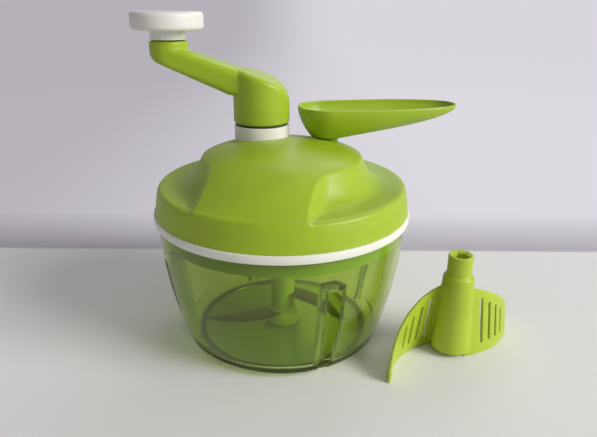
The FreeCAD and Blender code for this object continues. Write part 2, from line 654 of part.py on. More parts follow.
def make_gear_plate():
    sunk_z = COVER_BOTTOM_Z + SUNK
    plate = rod(PLATE_R, COVER_BOTTOM_Z, PLATE_TOP_Z)
    plate = plate.fuse(tube(SKIRT_OUT_R, SKIRT_IN_R, COVER_BOTTOM_Z - SKIRT_H, sunk_z))
    bush_boss_r = OUT_BUSH_OUT_R + OUT_BUSH_BOSS_WALL
    bush_boss_z = OUT_BUSH_BOTTOM_Z + OUT_BUSH_FLANGE_T
    plate = plate.fuse(rod(bush_boss_r, bush_boss_z, OUT_BUSH_TOP_Z - OUT_BUSH_FLANGE_T))
    plate = plate.fuse(rod(SHAFT_JOURNAL_R + JOURNAL_BOSS_WALL, sunk_z, JOURNAL_TOP_Z, CRANK))
    plate = plate.fuse(rod(CHIMNEY_BORE_R + CHIMNEY_WALL, sunk_z, CHIMNEY_TOP_Z, FUNNEL))
    plate = plate.cut(rod(CHIMNEY_BORE_R, COVER_BOTTOM_Z - TOOL_PAST, CHIMNEY_TOP_Z + TOOL_PAST, FUNNEL))
    plate = plate.cut(rod(OUT_BUSH_OUT_R, OUT_BUSH_BOTTOM_Z, OUT_BUSH_TOP_Z))
    journal_bore_r = SHAFT_JOURNAL_R + RUNNING_GAP
    plate = plate.cut(rod(journal_bore_r, JOURNAL_TOP_Z - SHAFT_JOURNAL_H, JOURNAL_TOP_Z + TOOL_PAST, CRANK))
    for place in screw_places():
        hole_r = PLATE_SCREW_R + SCREW_PLAY
        plate = plate.cut(rod(hole_r, COVER_BOTTOM_Z - TOOL_PAST, PLATE_TOP_Z + TOOL_PAST, place))
    return plate


def make_plate_screws():
    under = COVER_BOTTOM_Z
    screws = []
    for place in screw_places():
        head = rod(PLATE_SCREW_HEAD_R, under - PLATE_SCREW_HEAD_H, under, place)
        shank = rod(PLATE_SCREW_R, under - SUNK, under + PLATE_SCREW_LENGTH, place)
        screws.append(head.fuse(shank))
    return Part.makeCompound(screws)


def make_crank_collar(outer):
    """A flanged bearing that sits on the crowned lid: its flange is scribed to the crown."""
    flange = rod(COLLAR_R, COVER_EDGE_Z, COLLAR_TOP_Z, CRANK)
    flange = flange.makeFillet(COLLAR_ROUND, [flange.Edges[0]]).cut(outer)
    stem = rod(COLLAR_STEM_R, COLLAR_STEM_BOTTOM_Z, COLLAR_TOP_Z - COLLAR_ROUND, CRANK)
    bore_r = SHAFT_R + RUNNING_GAP
    bore = rod(bore_r, COLLAR_STEM_BOTTOM_Z - TOOL_PAST, COLLAR_TOP_Z + TOOL_PAST, CRANK)
    return flange.fuse(stem).cut(bore)


def involute_gear(teeth, z0, z1, bore, centre, phase_deg):
    """A spur gear with straight runs between points of the true involute."""
    pitch_r = GEAR_MODULE * teeth / 2.0
    base_r = pitch_r * math.cos(math.radians(PRESSURE_DEG))
    tip_r = pitch_r + GEAR_MODULE * ADDENDUM
    root_r = pitch_r - GEAR_MODULE * DEDENDUM
    half_angle = (math.pi * GEAR_MODULE / 2 - TOOTH_BACKLASH / 2) / (2 * pitch_r)

    def involute(radius):
        return math.sqrt(max((radius / base_r) ** 2 - 1, 0)) - math.acos(min(base_r / radius, 1))

    def flank_angle(radius):
        at = max(radius, base_r)
        return half_angle + involute(pitch_r) - involute(at)

    radii = [root_r, max(base_r, root_r + ROOT_STEP)]
    start = radii[-1]
    radii += [start + (tip_r - start) * k / FLANK_POINTS for k in range(1, FLANK_POINTS + 1)]
    points = []
    for tooth in range(teeth):
        mid = math.radians(phase_deg) + 2 * math.pi * tooth / teeth
        points += [polar(r, math.degrees(mid - flank_angle(r))) for r in radii]
        points += [polar(r, math.degrees(mid + flank_angle(r))) for r in reversed(radii)]
    blank = polygon([p + V(centre.x, centre.y, z0) for p in points]).extrude(V(0, 0, z1 - z0))
    return blank.cut(rod(bore, z0 - TOOL_PAST, z1 + TOOL_PAST, centre))


def make_drive_gear():
    """A tooth of the gear points at the pinion, and the pinion has a gap there."""
    phase = CRANK_TURN_DEG + 180
    return involute_gear(DRIVE_TEETH, GEAR_Z, GEAR_TOP_Z, SHAFT_GEAR_R, CRANK, phase)


def make_pinion():
    phase = CRANK_TURN_DEG + 180.0 / PINION_TEETH
    return involute_gear(PINION_TEETH, PINION_BOTTOM_Z, PINION_TOP_Z, OUT_PINION_SEAT_R, AXIS, phase)


def make_crank_shaft():
    journal_bottom = JOURNAL_TOP_Z - SHAFT_JOURNAL_H
    shaft = rod(SHAFT_JOURNAL_R, journal_bottom + SHAFT_JOURNAL_END_GAP, GEAR_Z, CRANK)
    shaft = shaft.fuse(rod(SHAFT_GEAR_R, JOURNAL_TOP_Z + SHAFT_SHOULDER_GAP, GEAR_TOP_Z, CRANK))
    shaft = shaft.fuse(rod(SHAFT_R, GEAR_TOP_Z, HUB_BOTTOM_Z, CRANK))
    shaft = shaft.fuse(hexagon(SHAFT_HEX_AF, HUB_BOTTOM_Z, SHAFT_TOP_Z, CRANK))
    shaft = shaft.cut(rod(SHAFT_BORE_R, journal_bottom, SHAFT_WEB_Z, CRANK))
    shaft = shaft.cut(rod(CRANK_SCREW_R, SHAFT_WEB_Z - TOOL_PAST, SHAFT_TOP_Z + TOOL_PAST, CRANK))
    return shaft.cut(crank_circlip_ring())


def crank_circlip_ring():
    return tube(CIRCLIP_OUT_R, SHAFT_R - CIRCLIP_GROOVE, CIRCLIP_Z, CIRCLIP_Z + CIRCLIP_T, CRANK)


def ring_opening(reach, width, z0, z1, centre):
    """The block that opens a circlip towards +x."""
    return Part.makeBox(reach, width, z1 - z0, V(centre.x, centre.y - width / 2, z0))


def make_crank_circlip():
    low = CIRCLIP_Z - TOOL_PAST
    high = CIRCLIP_Z + CIRCLIP_T + TOOL_PAST
    return crank_circlip_ring().cut(ring_opening(CIRCLIP_OUT_R, CIRCLIP_OPENING, low, high, CRANK))


def make_crank_screw():
    head = rod(CRANK_SCREW_HEAD_R, SHAFT_WEB_Z - CRANK_SCREW_HEAD_H, SHAFT_WEB_Z, CRANK)
    return head.fuse(rod(CRANK_SCREW_R, SHAFT_WEB_Z - SUNK, SHAFT_WEB_Z + CRANK_SCREW_LENGTH, CRANK))


def make_crank_washer():
    return tube(WASHER_R, SHAFT_R + RUNNING_GAP, COLLAR_TOP_Z, HUB_BOTTOM_Z, CRANK)


def arm_side():
    """Side view of the crank in the XZ plane, with the crank axis at x = 0 and the knob at +x."""

    def offsets(x, z, pairs):
        return [V(x + dx, 0, z + dz) for dx, dz in pairs]

    end_x = ARM_THROW + ARM_END_R
    boss_x = ARM_THROW - ARM_END_R
    under = offsets(HUB_R, ARM_UNDER_ROOT_Z, UNDER_FILLET)
    nose = offsets(end_x, ARM_END_BOTTOM_Z, NOSE_FILLET)
    boss = offsets(boss_x, ARM_END_TOP_Z, BOSS_FILLET)
    heel = offsets(-HUB_R, HUB_TOP_Z, HEEL_CURVE)
    hub_low_out = V(HUB_R, 0, HUB_BOTTOM_Z)
    hub_low_in = V(-HUB_R, 0, HUB_BOTTOM_Z)
    end_top_out = V(end_x, 0, ARM_END_TOP_Z)
    end_top_in = V(boss_x, 0, ARM_END_TOP_Z)
    top_root = V(ARM_TOP_ROOT_X, 0, ARM_TOP_ROOT_Z)
    crown_mid = V(CROWN_CURVE[0], 0, ARM_TOP_ROOT_Z + CROWN_CURVE[1])
    return face_of(
        [
            line(hub_low_in, hub_low_out),
            line(hub_low_out, under[0]),
            arc(under[0], under[1], under[2]),
            line(under[2], nose[0]),
            arc(nose[0], nose[1], nose[2]),
            line(nose[2], end_top_out),
            line(end_top_out, end_top_in),
            arc(end_top_in, boss[0], boss[1]),
            line(boss[1], top_root),
            arc(top_root, crown_mid, heel[0]),
            arc(heel[0], heel[1], heel[2]),
            line(heel[2], hub_low_in),
        ]
    )


def make_crank_arm():
    """The side view's slab, trimmed to the plan view: a round hub, a tapering arm and a round end."""
    width = 2 * (HUB_R + TOOL_PAST)
    slab = arm_side().extrude(V(0, width, 0))
    slab.translate(V(0, -width / 2, 0))
    low = HUB_BOTTOM_Z - TOOL_PAST
    high = ARM_END_TOP_Z + TOOL_PAST
    plan = rod(HUB_R, low, high).fuse(rod(ARM_END_R, low, high, V(ARM_THROW, 0, 0)))
    strip = polygon(
        [
            V(0, -ARM_ROOT_HALF, low),
            V(ARM_THROW, -ARM_END_R, low),
            V(ARM_THROW, ARM_END_R, low),
            V(0, ARM_ROOT_HALF, low),
        ]
    ).extrude(V(0, 0, high - low))
    arm = slab.common(plan.fuse(strip)).removeSplitter()
    arm = rotated(arm, ARM_TURN_DEG)
    arm.translate(CRANK)
    arm = arm.cut(hexagon(SHAFT_HEX_AF, HUB_BOTTOM_Z - TOOL_PAST, SHAFT_TOP_Z, CRANK))
    arm = arm.cut(rod(CRANK_SCREW_R, SHAFT_TOP_Z - TOOL_PAST, SHAFT_WEB_Z + CRANK_SCREW_LENGTH, CRANK))
    return arm.cut(rod(KNOB_PIN_R, KNOB_PIN_BOTTOM_Z, ARM_END_TOP_Z + TOOL_PAST, KNOB))


def make_knob_pin():
    pin = rod(KNOB_PIN_R, KNOB_PIN_BOTTOM_Z, KNOB_PIN_TOP_Z, KNOB)
    return pin.cut(rod(KNOB_SCREW_R, KNOB_PIN_TOP_Z - KNOB_SCREW_LENGTH, KNOB_PIN_TOP_Z + TOOL_PAST, KNOB))


def make_knob_washer():
    return tube(KNOB_WASHER_R, KNOB_SCREW_R, KNOB_PIN_TOP_Z, KNOB_PIN_TOP_Z + KNOB_WASHER_T, KNOB)


def make_knob_screw():
    seat = KNOB_PIN_TOP_Z + KNOB_WASHER_T
    head = rod(KNOB_SCREW_HEAD_R, seat, seat + KNOB_SCREW_HEAD_H, KNOB)
    return head.fuse(rod(KNOB_SCREW_R, KNOB_PIN_TOP_Z - KNOB_SCREW_LENGTH, seat + SUNK, KNOB))


def make_knob():
    """A flat disc with rounded edges on a short neck, free to turn on its pin."""
    r = KNOB_ROUND
    z0 = KNOB_BOTTOM_Z
    z1 = KNOB_TOP_Z
    s = r * (1 - math.sqrt(0.5))
    low = [V(0, 0, KNOB_NECK_BOTTOM_Z), V(KNOB_NECK_R, 0, KNOB_NECK_BOTTOM_Z), V(KNOB_NECK_R, 0, z0)]
    section = [
        line(low[0], low[1]),
        line(low[1], low[2]),
        line(low[2], V(KNOB_R - r, 0, z0)),
        arc(V(KNOB_R - r, 0, z0), V(KNOB_R - s, 0, z0 + s), V(KNOB_R, 0, z0 + r)),
        line(V(KNOB_R, 0, z0 + r), V(KNOB_R, 0, z1 - r)),
        arc(V(KNOB_R, 0, z1 - r), V(KNOB_R - s, 0, z1 - s), V(KNOB_R - r, 0, z1)),
        line(V(KNOB_R - r, 0, z1), V(0, 0, z1)),
        line(V(0, 0, z1), low[0]),
    ]
    knob = turned(face_of(section), KNOB)
    knob = knob.cut(rod(KNOB_PIN_R + RUNNING_GAP, KNOB_NECK_BOTTOM_Z - TOOL_PAST, KNOB_TOP_Z, KNOB))
    knob = knob.cut(rod(KNOB_POCKET_R, KNOB_SEAT_Z, KNOB_TOP_Z - KNOB_CAP_T, KNOB))
    ledge_r = KNOB_POCKET_R + KNOB_CAP_LEDGE
    return knob.cut(rod(ledge_r, KNOB_TOP_Z - KNOB_CAP_T, KNOB_TOP_Z + TOOL_PAST, KNOB))


def make_knob_cap():
    return rod(KNOB_POCKET_R + KNOB_CAP_LEDGE - KNOB_CAP_GAP, KNOB_TOP_Z - KNOB_CAP_T, KNOB_TOP_Z, KNOB)


def make_output_bush():
    flange_r = OUT_BUSH_OUT_R + OUT_BUSH_FLANGE_W
    bush = rod(OUT_BUSH_OUT_R, OUT_BUSH_BOTTOM_Z, OUT_BUSH_TOP_Z)
    bush = bush.fuse(rod(flange_r, OUT_BUSH_BOTTOM_Z, OUT_BUSH_BOTTOM_Z + OUT_BUSH_FLANGE_T))
    bore_r = OUT_LOWER_R + RUNNING_GAP
    return bush.cut(rod(bore_r, OUT_BUSH_BOTTOM_Z - TOOL_PAST, OUT_BUSH_TOP_Z + TOOL_PAST))


def make_output_shaft():
    shaft = rod(OUT_TOP_JOURNAL_R, PINION_TOP_Z - SUNK, OUT_TOP_Z)
    shaft = shaft.fuse(rod(OUT_PINION_SEAT_R, PINION_BOTTOM_Z - SUNK, PINION_TOP_Z))
    shaft = shaft.fuse(rod(OUT_LOWER_R, OUT_FLANGE_TOP_Z, PINION_BOTTOM_Z))
    shaft = shaft.fuse(rod(OUT_LOWER_R + OUT_FLANGE_W, OUT_FLANGE_BOTTOM_Z, OUT_FLANGE_TOP_Z))
    hex_bottom = INSERT_FOOT_Z + INSERT_HEIGHT - SOCKET_DEPTH + OUT_HEX_END_GAP
    shaft = shaft.fuse(hexagon(OUT_HEX_AF, hex_bottom, OUT_FLANGE_BOTTOM_Z + SUNK))
    return shaft.cut(output_circlip_ring())


def output_circlip_ring():
    groove_r = OUT_LOWER_R - OUT_CLIP_GROOVE
    return tube(OUT_LOWER_R + OUT_FLANGE_W, groove_r, OUT_CLIP_Z, OUT_CLIP_Z + CIRCLIP_T)


def make_output_circlip():
    low = OUT_CLIP_Z - TOOL_PAST
    high = OUT_CLIP_Z + CIRCLIP_T + TOOL_PAST
    opening = ring_opening(OUT_LOWER_R + OUT_FLANGE_W, OUT_CLIP_OPENING, low, high, AXIS)
    return output_circlip_ring().cut(opening)


def insert_rest_z(skirt_z):
    """The height of an insert's bearing face when its skirt is at skirt_z."""
    return skirt_z + PIVOT_BOSS_H - INSERT_FLOOR_GAP


def with_drive_holes(hub, skirt_z):
    """Cuts an insert's recess for the boss, its pivot hole and its drive socket, from its skirt up."""
    rest_z = insert_rest_z(skirt_z)
    pivot_end = rest_z + PIVOT_H + PIVOT_END_GAP
    top = rest_z + INSERT_HEIGHT
    hub = hub.cut(rod(PIVOT_BOSS_R + INSERT_BOSS_GAP, skirt_z - TOOL_PAST, rest_z))
    hub = hub.cut(rod(PIVOT_R + RUNNING_GAP, rest_z - TOOL_PAST, pivot_end))
    return hub.cut(hexagon(OUT_HEX_AF + 2 * SOCKET_GAP, top - SOCKET_DEPTH, top + TOOL_PAST))


def make_blade(level):
    """A sickle blade: its back and its edge are arcs that meet at the tip."""
    z = INSERT_FOOT_Z + BLADE_FIRST_H + BLADE_PITCH * level
    root_a = V(-BLADE_ROOT_BACK, BLADE_ROOT_HALF, z)
    root_b = V(-BLADE_ROOT_BACK, -BLADE_ROOT_HALF, z)
    tip_a, tip_b = (V(BLADE_TIP_R + dx, y, z) for dx, y in BLADE_TIP)
    back_mid = V(BLADE_TIP_R * BLADE_BACK_MID_SHARE, BLADE_BULGE, z)
    edge_mid = V(BLADE_TIP_R * BLADE_EDGE_MID_SHARE, -BLADE_EDGE_SAG, z)
    face = face_of(
        [
            arc(root_a, back_mid, tip_a),
            line(tip_a, tip_b),
            arc(tip_b, edge_mid, root_b),
            line(root_b, root_a),
        ]
    )
    blade = face.extrude(V(0, 0, BLADE_T))
    blade = blade.cut(rod(BLADE_EYE_R, z - TOOL_PAST, z + BLADE_T + TOOL_PAST))
    return rotated(blade, BLADE_FIRST_DEG + BLADE_STEP_DEG * level)


def make_blade_hub(blades):
    flange_top = BLADE_SKIRT_Z + BLADE_HUB_FLANGE_H
    below, above = BLADE_HUB_FLANGE_BEVEL
    top = INSERT_FOOT_Z + INSERT_HEIGHT
    neck_z = top - BLADE_NECK_H
    hub = turned_points(
        [
            (0, BLADE_SKIRT_Z),
            (BLADE_HUB_FLANGE_R, BLADE_SKIRT_Z),
            (BLADE_HUB_FLANGE_R, flange_top - below),
            (BLADE_HUB_R, flange_top + above),
            (BLADE_HUB_R, neck_z),
            (INSERT_NECK_R, neck_z + BLADE_NECK_BEVEL),
            (INSERT_NECK_R, top),
            (0, top),
        ]
    )
    hub = with_drive_holes(hub, BLADE_SKIRT_Z)
    for blade in blades:
        hub = hub.cut(blade)
    return hub


def wing_arc(offset):
    """Three points of a wing's face from above: beside the hub, bulging out, then back in at the tip."""
    return (
        V(0, -PADDLE_WING_ROOT_SIDE + offset, 0),
        V(PADDLE_WING_REACH * PADDLE_WING_MID_SIDE_SHARE, -PADDLE_WING_MID_SIDE + offset, 0),
        V(PADDLE_WING_REACH, offset, 0),
    )


def make_wing():
    """One curved wing that leans in as it rises, high at the hub and low at its tip, with slots."""
    near = wing_arc(-PADDLE_WING_T / 2)
    far = wing_arc(PADDLE_WING_T / 2)
    plan = face_of(
        [
            arc(near[0], near[1], near[2]),
            line(near[2], far[2]),
            arc(far[2], far[1], far[0]),
            line(far[0], near[0]),
        ]
    )
    wall = plan.extrude(V(0, PADDLE_WING_LEAN, PADDLE_WING_ROOT_Z))
    side = -2 * PADDLE_WING_MID_SIDE
    beyond = PADDLE_WING_REACH + TOOL_PAST
    root = V(-TOOL_PAST, side, PADDLE_WING_ROOT_Z)
    middle = V(PADDLE_WING_REACH * PADDLE_WING_MID_Z_SHARE, side, PADDLE_WING_MID_Z)
    tip = V(beyond, side, PADDLE_WING_TIP_Z)
    outline = face_of(
        [
            line(V(-TOOL_PAST, side, 0), V(beyond, side, 0)),
            line(V(beyond, side, 0), tip),
            arc(tip, middle, root),
            line(root, V(-TOOL_PAST, side, 0)),
        ]
    )
    wing = wall.common(outline.extrude(V(0, -2 * side, 0)))
    for k in range(PADDLE_SLOT_COUNT):
        x = PADDLE_SLOT_FIRST + PADDLE_SLOT_PITCH * k
        high = PADDLE_WING_ROOT_Z - PADDLE_SLOT_MARGIN - PADDLE_SLOT_STEP * k
        slot = Part.makeBox(PADDLE_SLOT_W, -2 * side, high - PADDLE_SLOT_LOW_Z)
        slot.translate(V(x, side, PADDLE_SLOT_LOW_Z))
        wing = wing.cut(slot)
    return wing


def make_paddle():
    """A tapered hub with two wings, half a turn apart, moulded in one piece."""
    top = insert_rest_z(PADDLE_FOOT_Z) + INSERT_HEIGHT - PADDLE_HEAD_DROP
    body = turned_points(
        [
            (0, PADDLE_FOOT_Z),
            (PADDLE_FOOT_R, PADDLE_FOOT_Z),
            (PADDLE_SHOULDER_R, PADDLE_SHOULDER_Z),
            (PADDLE_NECK_R, PADDLE_SHOULDER_Z + PADDLE_SHOULDER_BEVEL),
            (PADDLE_NECK_R, top),
            (0, top),
        ]
    )
    for turn in (0.0, 180.0):
        body = body.fuse(rotated(make_wing(), turn))
    body = with_drive_holes(body.removeSplitter(), PADDLE_FOOT_Z)
    body = rotated(body, PADDLE_TURN_DEG)
    body.translate(V(PADDLE_X, PADDLE_Y, 0))
    return body


def funnel_outline(z, shrink, pull):
    """A closed rounded scoop shape about the spout: blunt at the spout, wide and long the other way.

    pull runs from 0 at the rim to 1 at the round throat.
    """
    points = []
    for k in range(FUNNEL_POINTS):
        a = 2 * math.pi * k / FUNNEL_POINTS
        c = math.cos(a)
        s = math.sin(a)
        reach = FUNNEL_REACH if c > 0 else FUNNEL_BACK
        x = reach * c
        widening = min(max(x / FUNNEL_REACH * FUNNEL_WIDEN, -1.0), 1.0)
        half = FUNNEL_HALF * (1.0 - FUNNEL_BACK_SHARE + FUNNEL_BACK_SHARE * widening)
        y = half * math.copysign(abs(s) ** FUNNEL_SQUARENESS, s)
        x -= shrink * c
        y -= shrink * s
        tx = (FUNNEL_THROAT_R - shrink) * c
        ty = (FUNNEL_THROAT_R - shrink) * s
        points.append(V(x + (tx - x) * pull, y + (ty - y) * pull, z))
    curve = Part.BSplineCurve()
    curve.interpolate(points, PeriodicFlag=True)
    return Part.Wire([curve.toShape()])


def funnel_form(shrink, low, high):
    middle = (FUNNEL_LIP_Z + FUNNEL_THROAT_Z) / 2 - FUNNEL_MID_DROP
    sections = [
        funnel_outline(high, shrink, 0.0),
        funnel_outline(FUNNEL_LIP_Z, shrink, FUNNEL_LIP_PULL),
        funnel_outline(middle, shrink, FUNNEL_MID_PULL),
        funnel_outline(low, shrink, 1.0),
    ]
    return Part.makeLoft(sections, True, False)


def make_funnel():
    outer = funnel_form(0.0, FUNNEL_THROAT_Z, FUNNEL_RIM_Z)
    hollow = funnel_form(FUNNEL_WALL, FUNNEL_THROAT_Z + FUNNEL_WALL, FUNNEL_RIM_Z + SUNK)
    spout = rod(FUNNEL_SPOUT_R, FUNNEL_SPOUT_BOTTOM_Z, FUNNEL_THROAT_Z + SUNK)
    bore_r = FUNNEL_SPOUT_R - FUNNEL_WALL
    bore = rod(bore_r, FUNNEL_SPOUT_BOTTOM_Z - TOOL_PAST, FUNNEL_THROAT_Z + FUNNEL_WALL + TOOL_PAST)
    funnel = outer.cut(hollow).fuse(spout).cut(bore)
    funnel = rotated(funnel, FUNNEL_TURN_DEG)
    funnel.translate(FUNNEL)
    return funnel


def main():
    os.makedirs("parts", exist_ok=True)
    lid_outer = lid_form(0.0)
    blades = [make_blade(level) for level in range(len(BLADE_NAMES))]
    nodes = {
        "bowl": make_bowl(),
        "foot_ring": make_foot_ring(),
        "pivot_pin": make_pivot_pin(),
        "lid_cover": make_lid_cover(lid_outer),
        "rim_seal": make_rim_seal(),
        "gear_plate": make_gear_plate(),
        "plate_screws": make_plate_screws(),
        "crank_collar": make_crank_collar(lid_outer),
        "output_bush": make_output_bush(),
        "crank_shaft": make_crank_shaft(),
        "crank_circlip": make_crank_circlip(),
        "drive_gear": make_drive_gear(),
        "crank_washer": make_crank_washer(),
        "crank_screw": make_crank_screw(),
        "crank_arm": make_crank_arm(),
        "knob_pin": make_knob_pin(),
        "knob_washer": make_knob_washer(),
        "knob_screw": make_knob_screw(),
        "knob": make_knob(),
        "knob_cap": make_knob_cap(),
        "output_shaft": make_output_shaft(),
        "pinion": make_pinion(),
        "output_circlip": make_output_circlip(),
        "blade_hub": make_blade_hub(blades),
        "paddle_insert": make_paddle(),
        "funnel": make_funnel(),
    }
    nodes.update(zip(BLADE_NAMES, blades))
    for name, shape in nodes.items():
        save(name, shape)


main()
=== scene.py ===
"""Dresses a hand cranked food chopper: smooth moulded shells, a clear tinted bowl, ground blades and a studio."""

import json
import math

import bmesh
import bpy
import numpy as np
from bpy.props import FloatProperty, FloatVectorProperty, IntProperty, PointerProperty
from mathutils import Matrix, Vector


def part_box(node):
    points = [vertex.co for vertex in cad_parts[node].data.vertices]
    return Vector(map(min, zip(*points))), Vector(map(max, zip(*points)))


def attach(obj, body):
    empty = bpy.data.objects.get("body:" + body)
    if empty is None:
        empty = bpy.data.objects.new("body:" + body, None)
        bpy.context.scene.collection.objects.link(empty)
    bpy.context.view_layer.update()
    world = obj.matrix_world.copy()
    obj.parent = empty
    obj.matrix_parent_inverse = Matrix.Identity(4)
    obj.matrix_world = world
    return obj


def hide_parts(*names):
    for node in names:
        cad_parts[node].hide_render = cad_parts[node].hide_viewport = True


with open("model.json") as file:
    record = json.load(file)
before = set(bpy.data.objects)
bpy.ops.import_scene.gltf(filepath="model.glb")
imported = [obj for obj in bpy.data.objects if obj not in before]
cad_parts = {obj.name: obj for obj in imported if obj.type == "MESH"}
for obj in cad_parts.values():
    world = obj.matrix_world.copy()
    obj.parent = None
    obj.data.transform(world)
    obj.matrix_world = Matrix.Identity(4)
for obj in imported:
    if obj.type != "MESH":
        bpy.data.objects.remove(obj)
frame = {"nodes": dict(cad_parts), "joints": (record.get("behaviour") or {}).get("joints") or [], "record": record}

bl_info = {
    "name": "Crank Food Chopper",
    "version": (1, 0, 0),
    "blender": (4, 5, 0),
    "location": "View3D > Sidebar > Chopper",
    "description": "Builds the visible pieces of a hand cranked food chopper around its packed parts",
    "category": "Add Mesh",
}

MM = 0.001
FULL_TURN = 2.0 * math.pi
WELD_DISTANCE = 0.002 * MM
VOXEL = 0.5 * MM


# Sizes and colours that a user would change


def length(name, description, millimetres):
    """A size that is written in millimetres and kept in metres."""
    return FloatProperty(
        name=name, description=description, default=millimetres * MM, subtype="DISTANCE", unit="LENGTH", precision=5
    )


def angle(name, description, degrees):
    """An angle that is written in degrees and kept in radians."""
    return FloatProperty(name=name, description=description, default=math.radians(degrees), subtype="ANGLE")


def colour(name, description, value):
    return FloatVectorProperty(
        name=name, description=description, default=value, subtype="COLOR", size=3, min=0.0, max=1.0
    )


def amount(name, description, value):
    return FloatProperty(name=name, description=description, default=value, min=0.0, max=1.0, subtype="FACTOR")


class BowlSizes(bpy.types.PropertyGroup):
    """Sizes of the clear bowl and its foot ring."""

    foot_radius: length("Foot radius", "Outer radius of the flat foot", 60.0)
    foot_height: length("Foot height", "Height of the foot's underside above the table", 1.0)
    corner_radius: length("Corner radius", "Outer radius where the foot's curve ends", 66.3)
    corner_height: length("Corner height", "Height where the foot's curve ends", 8.0)
    belly_radius: length("Belly radius", "Outer radius half way up the wall", 75.4)
    belly_height: length("Belly height", "Height at which the belly radius is measured", 42.0)
    rim_radius: length("Rim radius", "Outer radius at the rim", 79.6)
    wall: length("Wall", "Thickness of the wall", 2.6)
    floor_height: length("Floor height", "Height of the inside of the floor", 5.0)
    boss_radius: length("Boss radius", "Radius of the pivot pin's boss", 5.0)
    boss_height: length("Boss height", "Height of the pivot pin's boss above the floor", 3.0)
    ring_inner: length("Foot ring inner radius", "Inner radius of the non-slip ring", 54.8)
    ring_outer: length("Foot ring outer radius", "Outer radius of the non-slip ring", 58.6)
    groove: length("Groove depth", "Depth of the non-slip ring's groove", 1.4)
    flute_count: IntProperty(name="Flutes", description="Number of upright flutes", default=4, min=1)
    flute_turn: angle("First flute", "Direction of the first flute, from the right-hand side", -66.0)
    flute_top_width: length("Flute width at the top", "Width of a flute under its shelf", 9.8)
    flute_foot_width: length("Flute width at the foot", "Width of a flute where it opens at the foot", 7.6)
    flute_foot: length("Flute depth at the foot", "Distance of a flute's back from the axis at the foot", 60.6)
    flute_top: length("Flute depth at the top", "Distance of a flute's back from the axis at its shelf", 69.5)
    flute_height: length("Flute height", "Height of a flute's shelf", 64.0)


class LidSizes(bpy.types.PropertyGroup):
    """Sizes of the lid cover and its seal."""

    band_bottom_radius: length("Band bottom radius", "Outer radius at the lid's lower edge", 81.3)
    band_bottom: length("Band bottom", "Height of the lid's lower edge", 90.0)
    band_top_radius: length("Band top radius", "Outer radius at the top of the side band", 79.0)
    band_top: length("Band top", "Height of the top of the side band", 106.0)
    edge_round: length("Edge rounding", "Radius of the side band's upper edge", 3.0)
    shoulder_radius: length("Shoulder radius", "Radius at which the crown turns into the slope", 49.0)
    shoulder_height: length("Shoulder height", "Height at which the crown turns into the slope", 124.8)
    crown_height: length("Crown height", "Height of the top of the crown", 131.5)
    ridge_half: length("Ridge half width", "Half the width of the ridge that runs front and back", 29.0)
    ridge_turn: angle("Ridge turn", "Turn of the ridge about the axis", -13.0)
    scoop_spread: length("Scoop spread", "How far a scoop's wall runs out at its foot", 15.0)
    scoop_blend: length("Scoop corner", "Softness of the corner between crown and ridge", 26.0)
    scoop_floor: length("Scoop floor", "Height of a scoop's floor above the side band's top", 0.6)
    scoop_dish: length("Scoop dish", "Extra hollow in the middle of a scoop's floor", 0.5)
    scoop_edge: length("Scoop edge", "Softness of a scoop's upper edge", 2.2)
    wall: length("Wall", "Thickness of the lid", 2.2)
    seal_radius: length("Seal radius", "Outer radius of the seal ring", 82.5)
    seal_bottom: length("Seal bottom", "Height of the seal ring's lower edge", 84.5)


class CrankSizes(bpy.types.PropertyGroup):
    """Sizes of the crank's collar, arm and knob, measured from the crank's axis."""

    collar_radius: length("Collar radius", "Radius of the white collar", 18.0)
    collar_top: length("Collar top", "Height of the collar's top face", 138.4)
    hub_radius: length("Hub radius", "Radius of the arm's hub", 18.3)
    hub_bottom: length("Hub bottom", "Height of the hub's lower face", 139.9)
    throw: length("Throw", "Distance of the knob's axis from the crank's axis", 58.0)
    end_radius: length("End radius", "Radius of the arm's round end", 12.2)
    end_top: length("End top", "Height of the arm's upper end face", 190.5)
    edge: length("Edge rounding", "Rounding of the arm's edges", 3.6)
    knob_radius: length("Knob radius", "Radius of the flat knob", 22.6)
    knob_neck: length("Knob neck radius", "Radius of the knob's neck", 11.2)
    knob_round: length("Knob rounding", "Rounding of the knob's edges", 3.0)


class FunnelSizes(bpy.types.PropertyGroup):
    """Sizes of the lift-off funnel, measured from its spout's axis."""

    turn: angle("Turn", "Direction of the funnel's long end", 9.0)
    reach: length("Reach", "Distance from the spout's axis to the tip", 89.0)
    back: length("Back", "Distance from the spout's axis to the blunt end", 20.0)
    half: length("Half width", "Half the width of the mouth", 25.0)
    rim_height: length("Rim height", "Height of the mouth's rim", 149.5)
    throat_height: length("Throat height", "Height where the body meets the spout", 129.6)
    throat_radius: length("Throat radius", "Outer radius where the body meets the spout", 11.5)
    spout_radius: length("Spout radius", "Outer radius of the spout", 7.2)
    wall: length("Wall", "Thickness of the wall", 1.8)


